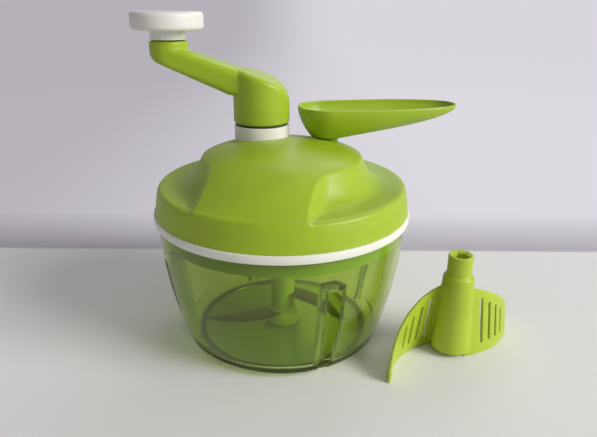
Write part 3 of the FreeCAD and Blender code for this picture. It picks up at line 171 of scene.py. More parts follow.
class InsertSizes(bpy.types.PropertyGroup):
    """Sizes of the bladed insert and of the paddle insert."""

    blade_tip: length("Blade tip radius", "Reach of a blade from the axis", 54.0)
    blade_belly: length("Blade belly", "Bulge of a blade's back", 10.8)
    blade_root: length("Blade root", "Half the width of a blade at its root", 6.0)
    blade_grind: amount("Ground share", "Share of a blade's width that is ground to its edge", 0.3)
    wing_reach: length("Wing reach", "Reach of a paddle wing from its hub's axis", 59.2)
    wing_root_side: length("Wing root offset", "Sideways offset of a wing at the hub", 10.5)
    wing_mid_side: length("Wing bulge", "Sideways offset of a wing at its middle", 15.5)
    wing_lean: length("Wing lean", "Sideways lean of a wing over the full height", 6.0)
    wing_thickness: length("Wing thickness", "Thickness of a wing", 2.0)
    wing_root_height: length("Wing root height", "Height of a wing at the hub", 48.0)
    wing_mid_height: length("Wing middle height", "Height of a wing at its middle", 33.5)
    wing_tip_height: length("Wing tip height", "Height of a wing at its tip", 7.0)
    paddle_turn: angle("Paddle turn", "Direction of the right-hand wing", 38.5)
    hub_foot: length("Paddle foot radius", "Radius of the paddle's hub at its foot", 13.0)
    hub_shoulder: length("Paddle shoulder radius", "Radius of the paddle's hub at its shoulder", 9.6)
    hub_shoulder_height: length("Paddle shoulder height", "Height of the shoulder", 54.0)
    hub_neck: length("Paddle neck radius", "Radius of the paddle's neck", 7.7)
    slot_count: IntProperty(name="Slots", description="Number of slots in a wing", default=4, min=0)
    slot_width: length("Slot width", "Width of a slot", 1.8)


class Finishes(bpy.types.PropertyGroup):
    """Colours of the mouldings, the rubber and the metal."""

    lid: colour("Lid green", "Green of the lid, crank and funnel", (0.35, 0.50, 0.016))
    insert: colour("Insert green", "Lighter green of the inserts", (0.43, 0.55, 0.03))
    bowl: colour("Bowl tint", "Tint of the clear bowl", (0.64, 0.76, 0.25))
    bowl_glow: colour("Bowl glow", "Tint of the light that shines through the bowl", (0.62, 0.67, 0.44))
    white: colour("White", "Off-white of the knob and collar", (0.82, 0.80, 0.76))
    seal: colour("Seal white", "Off-white of the seal ring", (0.84, 0.84, 0.75))
    # painted shade: this dark rubber is the foot ring's own colour, and on the crank's washer it paints the shade in
    # the gap under the crank's hub
    rubber: colour("Foot rubber", "Dark green-grey of the foot ring", (0.035, 0.045, 0.02))
    steel: colour("Steel", "Colour of the bright steel", (0.56, 0.56, 0.56))
    # painted shade: the blades' steel is darkened so that the blades show the dark reflections of the lid's inside and
    # the shade inside the bowl
    blade: colour("Blade steel", "Colour of the darker blades", (0.17, 0.16, 0.17))
    gear: colour("Gear plastic", "Natural white of the gears", (0.72, 0.71, 0.66))
    floor: colour("Floor", "Pale grey of the floor", (0.84, 0.835, 0.825))
    backdrop: colour("Backdrop", "Pale lilac grey behind the object", (0.50, 0.47, 0.52))
    # painted light: the backdrop is painted paler on its lit right side than on its shaded left side
    backdrop_painted_lit_side: colour("Backdrop light", "Paler tone at the backdrop's lit side", (0.76, 0.74, 0.79))


# Numbers shared by the pieces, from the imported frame


def axis_of(joint_name):
    """The point on a joint's axis, with its height left at zero."""
    for joint in frame["joints"]:
        if joint["name"] == joint_name:
            return np.array([joint["pos_m"][0], joint["pos_m"][1], 0.0])
    raise ValueError("the frame has no joint named " + joint_name)


def node_low(node):
    """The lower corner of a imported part's box."""
    return np.array(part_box(node)[0])


def node_high(node):
    """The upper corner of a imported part's box."""
    return np.array(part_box(node)[1])


# Curves and surfaces


def smooth_step(t):
    """3t^2 - 2t^3 between 0 and 1, and level outside."""
    t = np.clip(t, 0.0, 1.0)
    return t * t * (3.0 - 2.0 * t)


def soft_min(a, b, reach):
    """The smaller of two arrays, with a quadratic blend of the given reach where they cross."""
    share = np.clip(0.5 + 0.5 * (b - a) / reach, 0.0, 1.0)
    return b + (a - b) * share - reach * share * (1.0 - share)


def circle_through(a, b, c):
    """Centre and radius of the circle through three points in a plane."""
    a, b, c = (np.asarray(p, dtype=float) for p in (a, b, c))
    rows = 2.0 * np.array([b - a, c - a])
    right = np.array([b @ b - a @ a, c @ c - a @ a])
    centre = np.linalg.solve(rows, right)
    return centre, float(np.hypot(*(a - centre)))


def arc_through(a, b, c, count):
    """Points along the arc from a through b to c."""
    centre, radius = circle_through(a, b, c)
    start, middle, end = (math.atan2(p[1] - centre[1], p[0] - centre[0]) for p in (a, b, c))
    sweep = (end - start) % FULL_TURN
    if (middle - start) % FULL_TURN > sweep:
        sweep -= FULL_TURN
    turn = start + sweep * np.linspace(0.0, 1.0, count)
    return centre + radius * np.stack([np.cos(turn), np.sin(turn)], axis=-1)


def rounded(corners, cut, steps=5, closed=False):
    """A path with each corner replaced by a quadratic curve that starts and ends a cut away from it.

    cut is one length, or one for each corner. It is held to 0.45 of the shorter side.
    """
    corners = np.asarray(corners, dtype=float)
    count = len(corners)
    cuts = np.broadcast_to(np.asarray(cut, dtype=float), (count,))
    path = []
    for k in range(count):
        here = corners[k]
        if not closed and k in (0, count - 1):
            path.append(here[None, :])
            continue
        before = corners[(k - 1) % count] - here
        after = corners[(k + 1) % count] - here
        reach = min(cuts[k], 0.45 * np.linalg.norm(before), 0.45 * np.linalg.norm(after))
        start = here + before / np.linalg.norm(before) * reach
        end = here + after / np.linalg.norm(after) * reach
        t = np.linspace(0.0, 1.0, steps + 1)[:, None]
        path.append((1 - t) ** 2 * start + 2 * t * (1 - t) * here + t**2 * end)
    return np.concatenate(path)


def grid_faces(rows, columns, wrap_rows=False, wrap_columns=True):
    """The quads between neighbouring rows and columns of a grid of points, as rows of corner numbers."""
    row, column = np.meshgrid(
        np.arange(rows if wrap_rows else rows - 1),
        np.arange(columns if wrap_columns else columns - 1),
        indexing="ij",
    )
    next_row = (row + 1) % rows
    next_column = (column + 1) % columns
    corners = [
        row * columns + column,
        row * columns + next_column,
        next_row * columns + next_column,
        next_row * columns + column,
    ]
    return np.stack(corners, axis=-1).reshape(-1, 4)


def turned_points(profile, columns, centre=(0.0, 0.0, 0.0)):
    """A profile of (radius, height) carried round a vertical axis: x = r cos a, y = r sin a, z = height."""
    profile = np.asarray(profile, dtype=float)
    turn = np.linspace(0.0, FULL_TURN, columns, endpoint=False)
    x = profile[:, :1] * np.cos(turn)
    y = profile[:, :1] * np.sin(turn)
    z = np.broadcast_to(profile[:, 1:], x.shape)
    return np.stack([x, y, z], axis=-1) + np.asarray(centre)


def mesh_from(name, points, faces):
    """A mesh whose doubles are merged and whose faces point outwards. faces are all of four corners."""
    mesh = bpy.data.meshes.new(name)
    flat = np.ascontiguousarray(points, dtype=np.float32).reshape(-1, 3)
    faces = np.ascontiguousarray(faces, dtype=np.int32)
    mesh.vertices.add(len(flat))
    mesh.vertices.foreach_set("co", flat.ravel())
    mesh.loops.add(faces.size)
    mesh.loops.foreach_set("vertex_index", faces.ravel())
    mesh.polygons.add(len(faces))
    mesh.polygons.foreach_set("loop_start", np.arange(0, faces.size, 4, dtype=np.int32))
    mesh.update(calc_edges=True)
    weld(mesh)
    return mesh


def vertices_of(mesh):
    """A mesh's points as rows of x, y and z."""
    flat = np.empty(len(mesh.vertices) * 3, dtype=np.float32)
    mesh.vertices.foreach_get("co", flat)
    return flat.reshape(-1, 3)


def weld(mesh):
    """Merges doubled points, drops faces that this leaves without area and turns the faces outwards."""
    shape = bmesh.new()
    shape.from_mesh(mesh)
    bmesh.ops.remove_doubles(shape, verts=shape.verts, dist=WELD_DISTANCE)
    bmesh.ops.dissolve_degenerate(shape, edges=shape.edges, dist=WELD_DISTANCE)
    bmesh.ops.recalc_face_normals(shape, faces=shape.faces)
    shape.to_mesh(mesh)
    shape.free()
    mesh.update()


def surface(name, points, wrap_rows=False):
    """A mesh from a grid of points whose columns go once round."""
    rows, columns = points.shape[:2]
    return mesh_from(name, points, grid_faces(rows, columns, wrap_rows))


def capped(points):
    """A grid of points whose first and last rows are closed onto their own middles."""
    first, last = (np.broadcast_to(row.mean(axis=0), row.shape)[None] for row in (points[0], points[-1]))
    return np.concatenate([first, points, last])


def turned_mesh(name, profile, columns=192, centre=(0.0, 0.0, 0.0), closed=False):
    """A profile of (radius, height) turned about a vertical axis. A closed one runs back to its start."""
    return surface(name, turned_points(profile, columns, centre), wrap_rows=closed)


def joined(name, meshes):
    """One mesh that holds the faces of several."""
    shape = bmesh.new()
    for mesh in meshes:
        shape.from_mesh(mesh)
    whole = bpy.data.meshes.new(name)
    shape.to_mesh(whole)
    shape.free()
    return whole


def modified(mesh, make_modifiers):
    """The mesh that is left when modifiers are made on it and applied."""
    carrier = bpy.data.objects.new("carrier", mesh)
    bpy.context.collection.objects.link(carrier)
    make_modifiers(carrier)
    seen = carrier.evaluated_get(bpy.context.evaluated_depsgraph_get())
    result = bpy.data.meshes.new_from_object(seen)
    bpy.data.objects.remove(carrier)
    return result


def fused(mesh, passes):
    """Overlapping shells made one skin on a grid of voxels, then smoothed so that edges are softly rounded."""

    def make(carrier):
        remesh = carrier.modifiers.new("fuse", "REMESH")
        remesh.mode = "VOXEL"
        remesh.voxel_size = VOXEL
        smooth = carrier.modifiers.new("soften", "SMOOTH")
        smooth.factor = 0.5
        smooth.iterations = passes

    return modified(mesh, make)


def without(mesh, cutter):
    """The mesh with the space of a closed cutter taken out of it."""
    tool = bpy.data.objects.new("cutter", cutter)
    bpy.context.collection.objects.link(tool)

    def make(carrier):
        cut = carrier.modifiers.new("cut", "BOOLEAN")
        cut.operation = "DIFFERENCE"
        cut.solver = "EXACT"
        cut.object = tool

    result = modified(mesh, make)
    bpy.data.objects.remove(tool)
    return result


def placed(name, mesh, body, finish, nodes=(), crease=35.0):
    """A finished piece: smooth shaded but for its creases, riding on its body in place of its nodes."""
    mesh.name = name
    mesh.polygons.foreach_set("use_smooth", np.ones(len(mesh.polygons), dtype=bool))
    mesh.set_sharp_from_angle(angle=math.radians(crease))
    mesh.materials.clear()
    mesh.materials.append(finish_for(finish))
    piece = bpy.data.objects.new(name, mesh)
    bpy.context.collection.objects.link(piece)
    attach(piece, body)
    if nodes:
        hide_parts(*nodes)
    return piece


# Finishes


def new_finish(name):
    material = bpy.data.materials.new(name)
    material.use_nodes = True
    return material, material.node_tree.nodes, material.node_tree.links


def add_noise(nodes, links, scale, detail=3.0, stretch=(1.0, 1.0, 1.0)):
    """Noise in the object's own metres, so that it stays on the surface."""
    place = nodes.new("ShaderNodeTexCoord")
    mapping = nodes.new("ShaderNodeMapping")
    mapping.inputs["Scale"].default_value = stretch
    noise = nodes.new("ShaderNodeTexNoise")
    noise.inputs["Scale"].default_value = scale
    noise.inputs["Detail"].default_value = detail
    links.new(place.outputs["Object"], mapping.inputs["Vector"])
    links.new(mapping.outputs["Vector"], noise.inputs["Vector"])
    return noise.outputs["Fac"]


def add_range(nodes, links, source, low, high, start=0.3, end=0.7, kind="LINEAR"):
    """Spreads what runs from start to end, as a noise does from about 0.3 to 0.7, between two values."""
    spread = nodes.new("ShaderNodeMapRange")
    spread.interpolation_type = kind
    spread.inputs["From Min"].default_value = start
    spread.inputs["From Max"].default_value = end
    spread.inputs["To Min"].default_value = low
    spread.inputs["To Max"].default_value = high
    links.new(source, spread.inputs["Value"])
    return spread.outputs["Result"]


def add_mix(nodes, links, share, low, high):
    """A colour between two others, by a share from 0 to 1."""
    mix = nodes.new("ShaderNodeMix")
    mix.data_type = "RGBA"
    mix.inputs[6].default_value = (*low, 1.0)
    mix.inputs[7].default_value = (*high, 1.0)
    links.new(share, mix.inputs[0])
    return mix.outputs[2]


def add_math(nodes, links, operation, first, second, clamp=False):
    """The sum or product of two values."""
    work = nodes.new("ShaderNodeMath")
    work.operation = operation
    work.use_clamp = clamp
    links.new(first, work.inputs[0])
    links.new(second, work.inputs[1])
    return work.outputs["Value"]


def show_blend(nodes, links, share, first, second):
    """Gives the material one shader where a share is 0 and another where it is 1."""
    blend = nodes.new("ShaderNodeMixShader")
    links.new(share, blend.inputs["Fac"])
    links.new(first, blend.inputs[1])
    links.new(second, blend.inputs[2])
    links.new(blend.outputs["Shader"], nodes["Material Output"].inputs["Surface"])


def add_bump(nodes, links, source, shader, height):
    """Raises a surface by a height where its source is 1."""
    bump = nodes.new("ShaderNodeBump")
    bump.inputs["Strength"].default_value = 1.0
    bump.inputs["Distance"].default_value = height
    links.new(source, bump.inputs["Height"])
    links.new(bump.outputs["Normal"], shader.inputs["Normal"])


def add_tint(nodes, links, source, shader, base, spread):
    """Varies a colour a little either side of its own value."""
    low = [c * (1.0 - spread) for c in base]
    high = [min(1.0, c * (1.0 + spread)) for c in base]
    varied = add_mix(nodes, links, add_range(nodes, links, source, 0.0, 1.0), low, high)
    links.new(varied, shader.inputs["Base Color"])


def moulded_plastic(name, base, roughness, grain, tint=0.04):
    """Injection moulded plastic: a satin skin with a fine grain, faint flow marks and handling gloss."""
    material, nodes, links = new_finish(name)
    shader = nodes["Principled BSDF"]
    shader.inputs["IOR"].default_value = 1.49
    flow = add_noise(nodes, links, 38.0, 2.0, (1.0, 1.0, 2.2))
    add_tint(nodes, links, flow, shader, base, tint)
    handled = add_noise(nodes, links, 90.0, 4.0)
    links.new(add_range(nodes, links, handled, roughness - 0.05, roughness + 0.06), shader.inputs["Roughness"])
    add_bump(nodes, links, add_noise(nodes, links, 2600.0, 2.0), shader, grain)
    shader.inputs["Subsurface Weight"].default_value = 0.06
    shader.inputs["Subsurface Scale"].default_value = 1.5 * MM
    shader.inputs["Subsurface Radius"].default_value = (1.0, 1.0, 0.4)
    return material


def clear_plastic(name, base, glow):
    """Tinted clear plastic, rubbed slightly dull, with fine upright drag marks; lamps shine through it."""
    material, nodes, links = new_finish(name)
    shader = nodes["Principled BSDF"]
    shader.inputs["Base Color"].default_value = (*base, 1.0)
    shader.inputs["IOR"].default_value = 1.40
    shader.inputs["Transmission Weight"].default_value = 0.96
    scuffs = add_noise(nodes, links, 420.0, 5.0, (1.0, 1.0, 0.15))
    links.new(add_range(nodes, links, scuffs, 0.02, 0.07), shader.inputs["Roughness"])
    add_bump(nodes, links, add_noise(nodes, links, 60.0, 2.0), shader, 0.05 * MM)
    passing = nodes.new("ShaderNodeBsdfTransparent")
    passing.inputs["Color"].default_value = (*glow, 1.0)
    rays = nodes.new("ShaderNodeLightPath")
    show_blend(nodes, links, rays.outputs["Is Shadow Ray"], shader.outputs["BSDF"], passing.outputs["BSDF"])
    return material


def soft_rubber(name, base, roughness):
    """Matte rubber with a fine tooth."""
    material, nodes, links = new_finish(name)
    shader = nodes["Principled BSDF"]
    add_tint(nodes, links, add_noise(nodes, links, 60.0), shader, base, 0.05)
    wear = add_noise(nodes, links, 200.0, 4.0)
    links.new(add_range(nodes, links, wear, roughness - 0.06, roughness + 0.08), shader.inputs["Roughness"])
    add_bump(nodes, links, add_noise(nodes, links, 3200.0, 2.0), shader, 0.02 * MM)
    return material


def worked_steel(name, base, roughness, stretch):
    """Steel with fine working marks, drawn out along one axis."""
    material, nodes, links = new_finish(name)
    shader = nodes["Principled BSDF"]
    shader.inputs["Metallic"].default_value = 1.0
    marks = add_noise(nodes, links, 900.0, 4.0, stretch)
    add_tint(nodes, links, marks, shader, base, 0.08)
    links.new(add_range(nodes, links, marks, roughness - 0.08, roughness + 0.10), shader.inputs["Roughness"])
    add_bump(nodes, links, marks, shader, 0.01 * MM)
    return material


def make_finishes():
    """One finish for each material slot of the record."""
    colours = bpy.context.scene.chopper_finishes
    return {
        "bowl_clear": clear_plastic("bowl_clear", colours.bowl, colours.bowl_glow),
        "lid_green": moulded_plastic("lid_green", colours.lid, 0.42, 0.012 * MM),
        "insert_green": moulded_plastic("insert_green", colours.insert, 0.40, 0.015 * MM),
        "knob_white": moulded_plastic("knob_white", colours.white, 0.38, 0.010 * MM, 0.02),
        "gear_plastic": moulded_plastic("gear_plastic", colours.gear, 0.50, 0.015 * MM, 0.03),
        "seal_white": soft_rubber("seal_white", colours.seal, 0.50),
        # painted shade: foot_rubber also darkens the crank's washer, to paint the shaded gap under the crank's hub
        "foot_rubber": soft_rubber("foot_rubber", colours.rubber, 0.72),
        "steel": worked_steel("steel", colours.steel, 0.28, (1.0, 1.0, 8.0)),
        # painted shade: blade_steel's darker colour stands in for the dark reflections and shade that the blades catch
        # inside the bowl
        "blade_steel": worked_steel("blade_steel", colours.blade, 0.34, (1.0, 1.0, 1.0)),
    }


FINISHES = {}


def finish_for(slot_name):
    """The finish of a slot, made on first use."""
    if not FINISHES:
        FINISHES.update(make_finishes())
    return FINISHES[slot_name]


# Bowl


FLUTE_ZONE = math.radians(9.5)
FLUTE_SIDE_BLEND = 1.3 * MM
FLUTE_SHELF_BLEND = 1.6 * MM
UNDERSIDE_RECESS = 0.6 * MM
GROOVE_PLAY = 0.2 * MM


def bowl_columns(size):
    """Angles round the bowl, close together across each flute and wider apart between them."""
    span = FULL_TURN / size.flute_count
    near = np.linspace(-FLUTE_ZONE, FLUTE_ZONE, 54, endpoint=False)
    far = np.linspace(FLUTE_ZONE, span - FLUTE_ZONE, 30, endpoint=False)
    one = np.concatenate([near, far])
    starts = size.flute_turn + span * np.arange(size.flute_count)
    return (starts[:, None] + one).ravel()


def with_flutes(radius, height, turn, size, grow):
    """Pulls a radius in to a flute's flat back, inside its width and under its shelf, with soft edges.

    grow is 0 for the outside and the wall's thickness for the inside.
    """
    span = FULL_TURN / size.flute_count
    offset = (turn - size.flute_turn + span / 2.0) % span - span / 2.0
    up = np.clip(height / size.flute_height, 0.0, 1.0)
    half = (size.flute_foot_width + (size.flute_top_width - size.flute_foot_width) * up) / 2.0 + grow
    back = size.flute_foot + (size.flute_top - size.flute_foot) * up - grow
    across = smooth_step((half - np.abs(radius * np.sin(offset))) / FLUTE_SIDE_BLEND)
    below = smooth_step((size.flute_height + grow - height) / FLUTE_SHELF_BLEND)
    reached = np.minimum(radius, back / np.cos(offset))
    return radius + (reached - radius) * across * below


def bowl_wall_rows(size, offset, low, high):
    """Heights and radii of the wall's long arc, with more rows at the flutes' shelves."""
    centre, reach = circle_through(
        (size.corner_radius, size.corner_height),
        (size.belly_radius, size.belly_height),
        (size.rim_radius, node_high("bowl")[2]),
    )
    shelf = size.flute_height + offset
    height = np.concatenate(
        [
            np.linspace(low, shelf - 4.0 * MM, 26),
            np.linspace(shelf - 3.4 * MM, shelf + 1.6 * MM, 17),
            np.linspace(shelf + 3.0 * MM, high, 12),
        ]
    )
    radius = centre[0] + np.sqrt(reach**2 - (height - centre[1]) ** 2) - offset
    return np.stack([radius, height], axis=-1)


def bowl_mesh(size):
    """Two skins of a turned wall whose radius is pulled in at each flute, joined over the rim."""
    rim = node_high("bowl")[2]
    foot = size.foot_height
    edge = 0.7 * MM
    recess = foot + UNDERSIDE_RECESS
    groove_in = size.ring_inner - GROOVE_PLAY
    groove_out = size.ring_outer + GROOVE_PLAY
    underside = [(0.0, recess)]
    underside += [(groove_in * share, recess) for share in np.linspace(0.02, 1.0, 6)]
    underside += [
        (groove_in, foot + size.groove),
        (groove_out, foot + size.groove),
        (groove_out, foot),
        (size.foot_radius - 0.2 * MM, foot),
    ]
    foot_curve = arc_through(
        (size.foot_radius, foot + 0.2 * MM),
        ((size.foot_radius + size.corner_radius) / 2.0 + 1.1 * MM, (foot + size.corner_height) / 2.0 - 1.4 * MM),
        (size.corner_radius, size.corner_height),
        12,
    )
    outside = bowl_wall_rows(size, 0.0, size.corner_height + 1.0 * MM, rim - edge)
    inside = bowl_wall_rows(size, size.wall, size.corner_height + 4.0 * MM, rim - edge)[::-1]
    lip = rounded([outside[-1], (outside[-1, 0], rim), (inside[0, 0], rim), inside[0]], edge, 4)[1:-1]
    inner_corner = arc_through(
        inside[-1],
        (size.corner_radius - size.wall - 1.6 * MM, size.floor_height + 1.9 * MM),
        (size.foot_radius - 4.0 * MM, size.floor_height),
        9,
    )[1:]
    boss_top = size.floor_height + size.boss_height
    floor = rounded(
        [
            (size.foot_radius - 5.0 * MM, size.floor_height),
            (size.boss_radius, size.floor_height),
            (size.boss_radius, boss_top),
            (0.0, boss_top),
        ],
        0.8 * MM,
    )
    outer = np.concatenate([underside, foot_curve, outside])
    inner = np.concatenate([inside, inner_corner, floor])
    turn = bowl_columns(size)
    outer_radius = with_flutes(outer[:, :1], outer[:, 1:], turn, size, 0.0)
    inner_radius = with_flutes(inner[:, :1], inner[:, 1:], turn, size, size.wall)
    lip_radius = np.broadcast_to(lip[:, :1], (len(lip), len(turn)))
    radius = np.concatenate([outer_radius, lip_radius, inner_radius])
    height = np.concatenate([outer[:, 1:], lip[:, 1:], inner[:, 1:]]) + 0.0 * radius
    points = np.stack([radius * np.cos(turn), radius * np.sin(turn), height], axis=-1)
    return surface("bowl_wall", points)


class CHOPPER_OT_bowl(bpy.types.Operator):
    """Make the clear bowl with its flutes"""

    bl_idname = "chopper.make_bowl"
    bl_label = "Bowl"

    def execute(self, context):
        size = context.scene.chopper_bowl
        placed("bowl_wall", bowl_mesh(size), "bowl", "bowl_clear", ["bowl"], 40.0)
        return {"FINISHED"}


class CHOPPER_OT_foot_ring(bpy.types.Operator):
    """Make the non-slip ring under the bowl"""

    bl_idname = "chopper.make_foot_ring"
    bl_label = "Foot ring"

    def execute(self, context):
        size = context.scene.chopper_bowl
        top = node_high("foot_ring")[2]
        corners = [
            (size.ring_inner, 0.0),
            (size.ring_outer, 0.0),
            (size.ring_outer, top),
            (size.ring_inner, top),
        ]
        profile = rounded(corners, [0.7 * MM, 0.7 * MM, 0.2 * MM, 0.2 * MM], closed=True)
        mesh = turned_mesh("foot_grip", profile, closed=True)
        placed("foot_grip", mesh, "bowl", "foot_rubber", ["foot_ring"])
        return {"FINISHED"}


# Lid


RIDGE_STEEPNESS = 3.2
COVE_POWER = 2.2


def crown_height(radius, size):
    """Height of the lid without its scoops: a crowned arc, a blend, and a straight slope to the band."""
    rise = size.crown_height - size.shoulder_height
    reach = (size.shoulder_radius**2 + rise**2) / (2.0 * rise)
    crown = size.crown_height - reach + np.sqrt(np.maximum(reach**2 - radius**2, 0.0))
    foot_radius = size.band_top_radius - 2.0 * MM
    slope = (size.shoulder_height - size.band_top - 1.0 * MM) / (size.shoulder_radius - foot_radius)
    straight = size.shoulder_height + slope * (radius - size.shoulder_radius)
    return soft_min(crown, straight, 3.0 * MM)


def scoop_height(x, y, size):
    """Height of the scoops' surface: far above the lid over crown and ridge, coved down to their floor."""
    turn = -size.ridge_turn
    across = x * math.cos(turn) - y * math.sin(turn)
    radius = np.hypot(x, y)
    from_crown = radius - size.shoulder_radius - 1.0 * MM
    from_ridge = (np.abs(across) - size.ridge_half) * RIDGE_STEEPNESS
    outside = soft_min(from_crown, from_ridge, size.scoop_blend)
    floor = size.band_top + size.scoop_floor
    share = outside / size.scoop_spread
    cove = np.clip(1.0 - share, 0.0, None) ** COVE_POWER
    drop = size.shoulder_height - floor
    dish = smooth_step((share - 0.75) / 0.6) * smooth_step((size.band_top_radius - radius) / (16.0 * MM))
    return floor + drop * cove - size.scoop_dish * dish


def lid_mesh(size):
    """A polar grid: the top is the lower of the crown and the scoops, then band, lower edge and inner skin."""
    columns = 480
    turn = np.linspace(0.0, FULL_TURN, columns, endpoint=False)
    flat_radius = size.band_top_radius - size.edge_round
    radius = np.concatenate(
        [np.linspace(0.0, 40.0, 22) * MM, np.linspace(40.8 * MM, flat_radius, 62)]
    )[:, None]
    x = radius * np.cos(turn)
    y = radius * np.sin(turn)
    top = soft_min(crown_height(radius, size) + 0.0 * x, scoop_height(x, y, size), size.scoop_edge)
    rim = top[-1]
    bend = np.linspace(0.0, math.pi / 2.0, 8)[1:, None]
    bend_radius = flat_radius + size.edge_round * np.sin(bend) + 0.0 * rim
    bend_top = rim - size.edge_round * (1.0 - np.cos(bend))
    start_z = bend_top[-1]
    down = np.linspace(0.0, 1.0, 9)[1:, None]
    band_top = start_z + (size.band_bottom + 0.5 * MM - start_z) * down
    share = (size.band_top - band_top) / (size.band_top - size.band_bottom)
    band_radius = size.band_top_radius + (size.band_bottom_radius - size.band_top_radius) * np.clip(share, 0.0, 1.0)
    foot = rounded(
        [
            (size.band_bottom_radius, size.band_bottom + 0.8 * MM),
            (size.band_bottom_radius, size.band_bottom),
            (size.band_bottom_radius - size.wall, size.band_bottom),
            (size.band_bottom_radius - size.wall, size.band_bottom + 2.0 * MM),
        ],
        0.5 * MM,
        3,
    )[1:]
    foot_radius = foot[:, :1] + 0.0 * rim
    foot_height = foot[:, 1:] + 0.0 * rim
    inner_flat = radius[::2][::-1] * (flat_radius - size.wall) / flat_radius
    inner_top = top[::2][::-1] - size.wall
    inner_wall_radius = (size.band_top_radius - size.wall - 0.6 * MM) + 0.0 * rim[None, :]
    inner_wall_height = inner_top[:1] - 2.0 * MM
    rows_radius = np.concatenate(
        [radius + 0.0 * x, bend_radius, band_radius, foot_radius, inner_wall_radius, inner_flat + 0.0 * inner_top]
    )
    rows_height = np.concatenate([top, bend_top, band_top, foot_height, inner_wall_height, inner_top])
    points = np.stack([rows_radius * np.cos(turn), rows_radius * np.sin(turn), rows_height], axis=-1)
    return surface("lid_shell", points)


class CHOPPER_OT_lid(bpy.types.Operator):
    """Make the lid cover with its crown, ridge and finger scoops"""

    bl_idname = "chopper.make_lid"
    bl_label = "Lid cover"

    def execute(self, context):
        size = context.scene.chopper_lid
        funnel = context.scene.chopper_funnel
        hole_radius = funnel.spout_radius + 0.35 * MM
        hole_top = size.crown_height + 5.0 * MM
        hole = [(0.0, size.band_top), (hole_radius, size.band_top), (hole_radius, hole_top), (0.0, hole_top)]
        cutter = turned_mesh("spout_hole", hole, 64, SPOUT_AXIS)
        mesh = without(lid_mesh(size), cutter)
        placed("lid_shell", mesh, "lid", "lid_green", ["lid_cover"], 50.0)
        return {"FINISHED"}


class CHOPPER_OT_seal(bpy.types.Operator):
    """Make the white seal ring between lid and bowl"""

    bl_idname = "chopper.make_seal"
    bl_label = "Seal ring"

    def execute(self, context):
        size = context.scene.chopper_lid
        bowl = context.scene.chopper_bowl
        rim = node_high("bowl")[2]
        inner = bowl.rim_radius - bowl.wall - 0.3 * MM
        skirt = bowl.rim_radius + 0.3 * MM
        corners = [
            (inner, rim),
            (skirt, rim),
            (skirt, size.seal_bottom),
            (size.seal_radius - 0.5 * MM, size.seal_bottom),
            (size.seal_radius, size.seal_bottom + 2.6 * MM),
            (size.seal_radius - 0.3 * MM, size.band_bottom),
            (inner, size.band_bottom),
        ]
        profile = rounded(corners, [0.3 * MM, 0.3 * MM, 0.5 * MM, 1.1 * MM, 2.2 * MM, 1.0 * MM, 0.3 * MM], closed=True)
        placed("seal_band", turned_mesh("seal_band", profile, 256, closed=True), "lid", "seal_white", ["rim_seal"])
        return {"FINISHED"}


# Crank


# Points on the arm's upper and lower sides: distance from the crank's axis towards the knob, and height
ARM_UPPER_SIDE = MM * np.array(
    [
        (-18.3, 158.0),
        (-14.0, 163.2),
        (-9.0, 166.6),
        (-2.0, 169.6),
        (6.0, 172.0),
        (14.0, 174.2),
        (46.0, 184.8),
        (75.0, 194.2),
    ]
)
ARM_LOWER_SIDE = MM * np.array([(0.0, 157.0), (20.0, 157.8), (24.5, 159.9), (65.5, 177.6), (70.2, 181.8)])
ARM_ROOT_HALF = 13.4 * MM
ARM_SQUARENESS = 2.0 / 4.5


def collar_mesh(size, lid):
    """A turned collar whose lower edge follows the crowned lid that it stands on."""
    turn = np.linspace(0.0, FULL_TURN, 128, endpoint=False)
    centre = axis_of("crank_spin")
    stem = 12.5 * MM
    bore = 8.1 * MM
    stem_bottom = node_low("crank_collar")[2]
    top = rounded(
        [
            (size.collar_radius, size.collar_top - 5.0 * MM),
            (size.collar_radius, size.collar_top),
            (bore, size.collar_top),
            (bore, stem_bottom),
            (stem, stem_bottom),
            (stem, stem_bottom + 2.0 * MM),
        ],
        [0.0, 1.0 * MM, 0.6 * MM, 0.3 * MM, 0.5 * MM, 0.0],
    )
    under = np.array([(stem, 0.0), (size.collar_radius, 0.0)])
    profile = np.concatenate([top, under])
    radius = profile[:, :1] + 0.0 * turn
    height = profile[:, 1:] + 0.0 * turn
    x = centre[0] + radius * np.cos(turn)
    y = centre[1] + radius * np.sin(turn)
    on_lid = crown_height(np.hypot(x, y), lid) - 0.4 * MM
    height[-2:] = on_lid[-2:]
    return surface("collar_ring", np.stack([x, y, height], axis=-1), wrap_rows=True)


def arm_top(x):
    """Height of the arm's upper side at a distance x from the crank's axis towards the knob."""
    return np.interp(x, ARM_UPPER_SIDE[:, 0], ARM_UPPER_SIDE[:, 1])


def hub_mesh(size):
    """A turned hub whose top follows the arm's upper side, with a rounded edge."""
    turn = np.linspace(0.0, FULL_TURN, 120, endpoint=False)
    inner = (size.hub_radius - size.edge) * np.linspace(0.0, 1.0, 14)[:, None]
    bend = np.linspace(0.0, math.pi / 2.0, 8)[1:, None]
    round_radius = size.hub_radius - size.edge + size.edge * np.sin(bend)
    side_rows = 6
    side = np.full((side_rows, 1), size.hub_radius)
    base = np.array([[size.hub_radius], [size.hub_radius - 0.6 * MM], [0.0]])
    radius = np.concatenate([inner, round_radius, side, base])
    x = radius * np.cos(turn)
    y = radius * np.sin(turn)
    height = arm_top(x)
    first = len(inner)
    last = first + len(bend)
    height[first:last] -= size.edge * (1.0 - np.cos(bend))
    fall = np.linspace(0.0, 1.0, side_rows + 1)[1:, None]
    height[last : last + side_rows] = height[last - 1] + (size.hub_bottom + 0.6 * MM - height[last - 1]) * fall
    height[-3] = size.hub_bottom + 0.6 * MM
    height[-2:] = size.hub_bottom
    return surface("hub", np.stack([x, y, height], axis=-1))


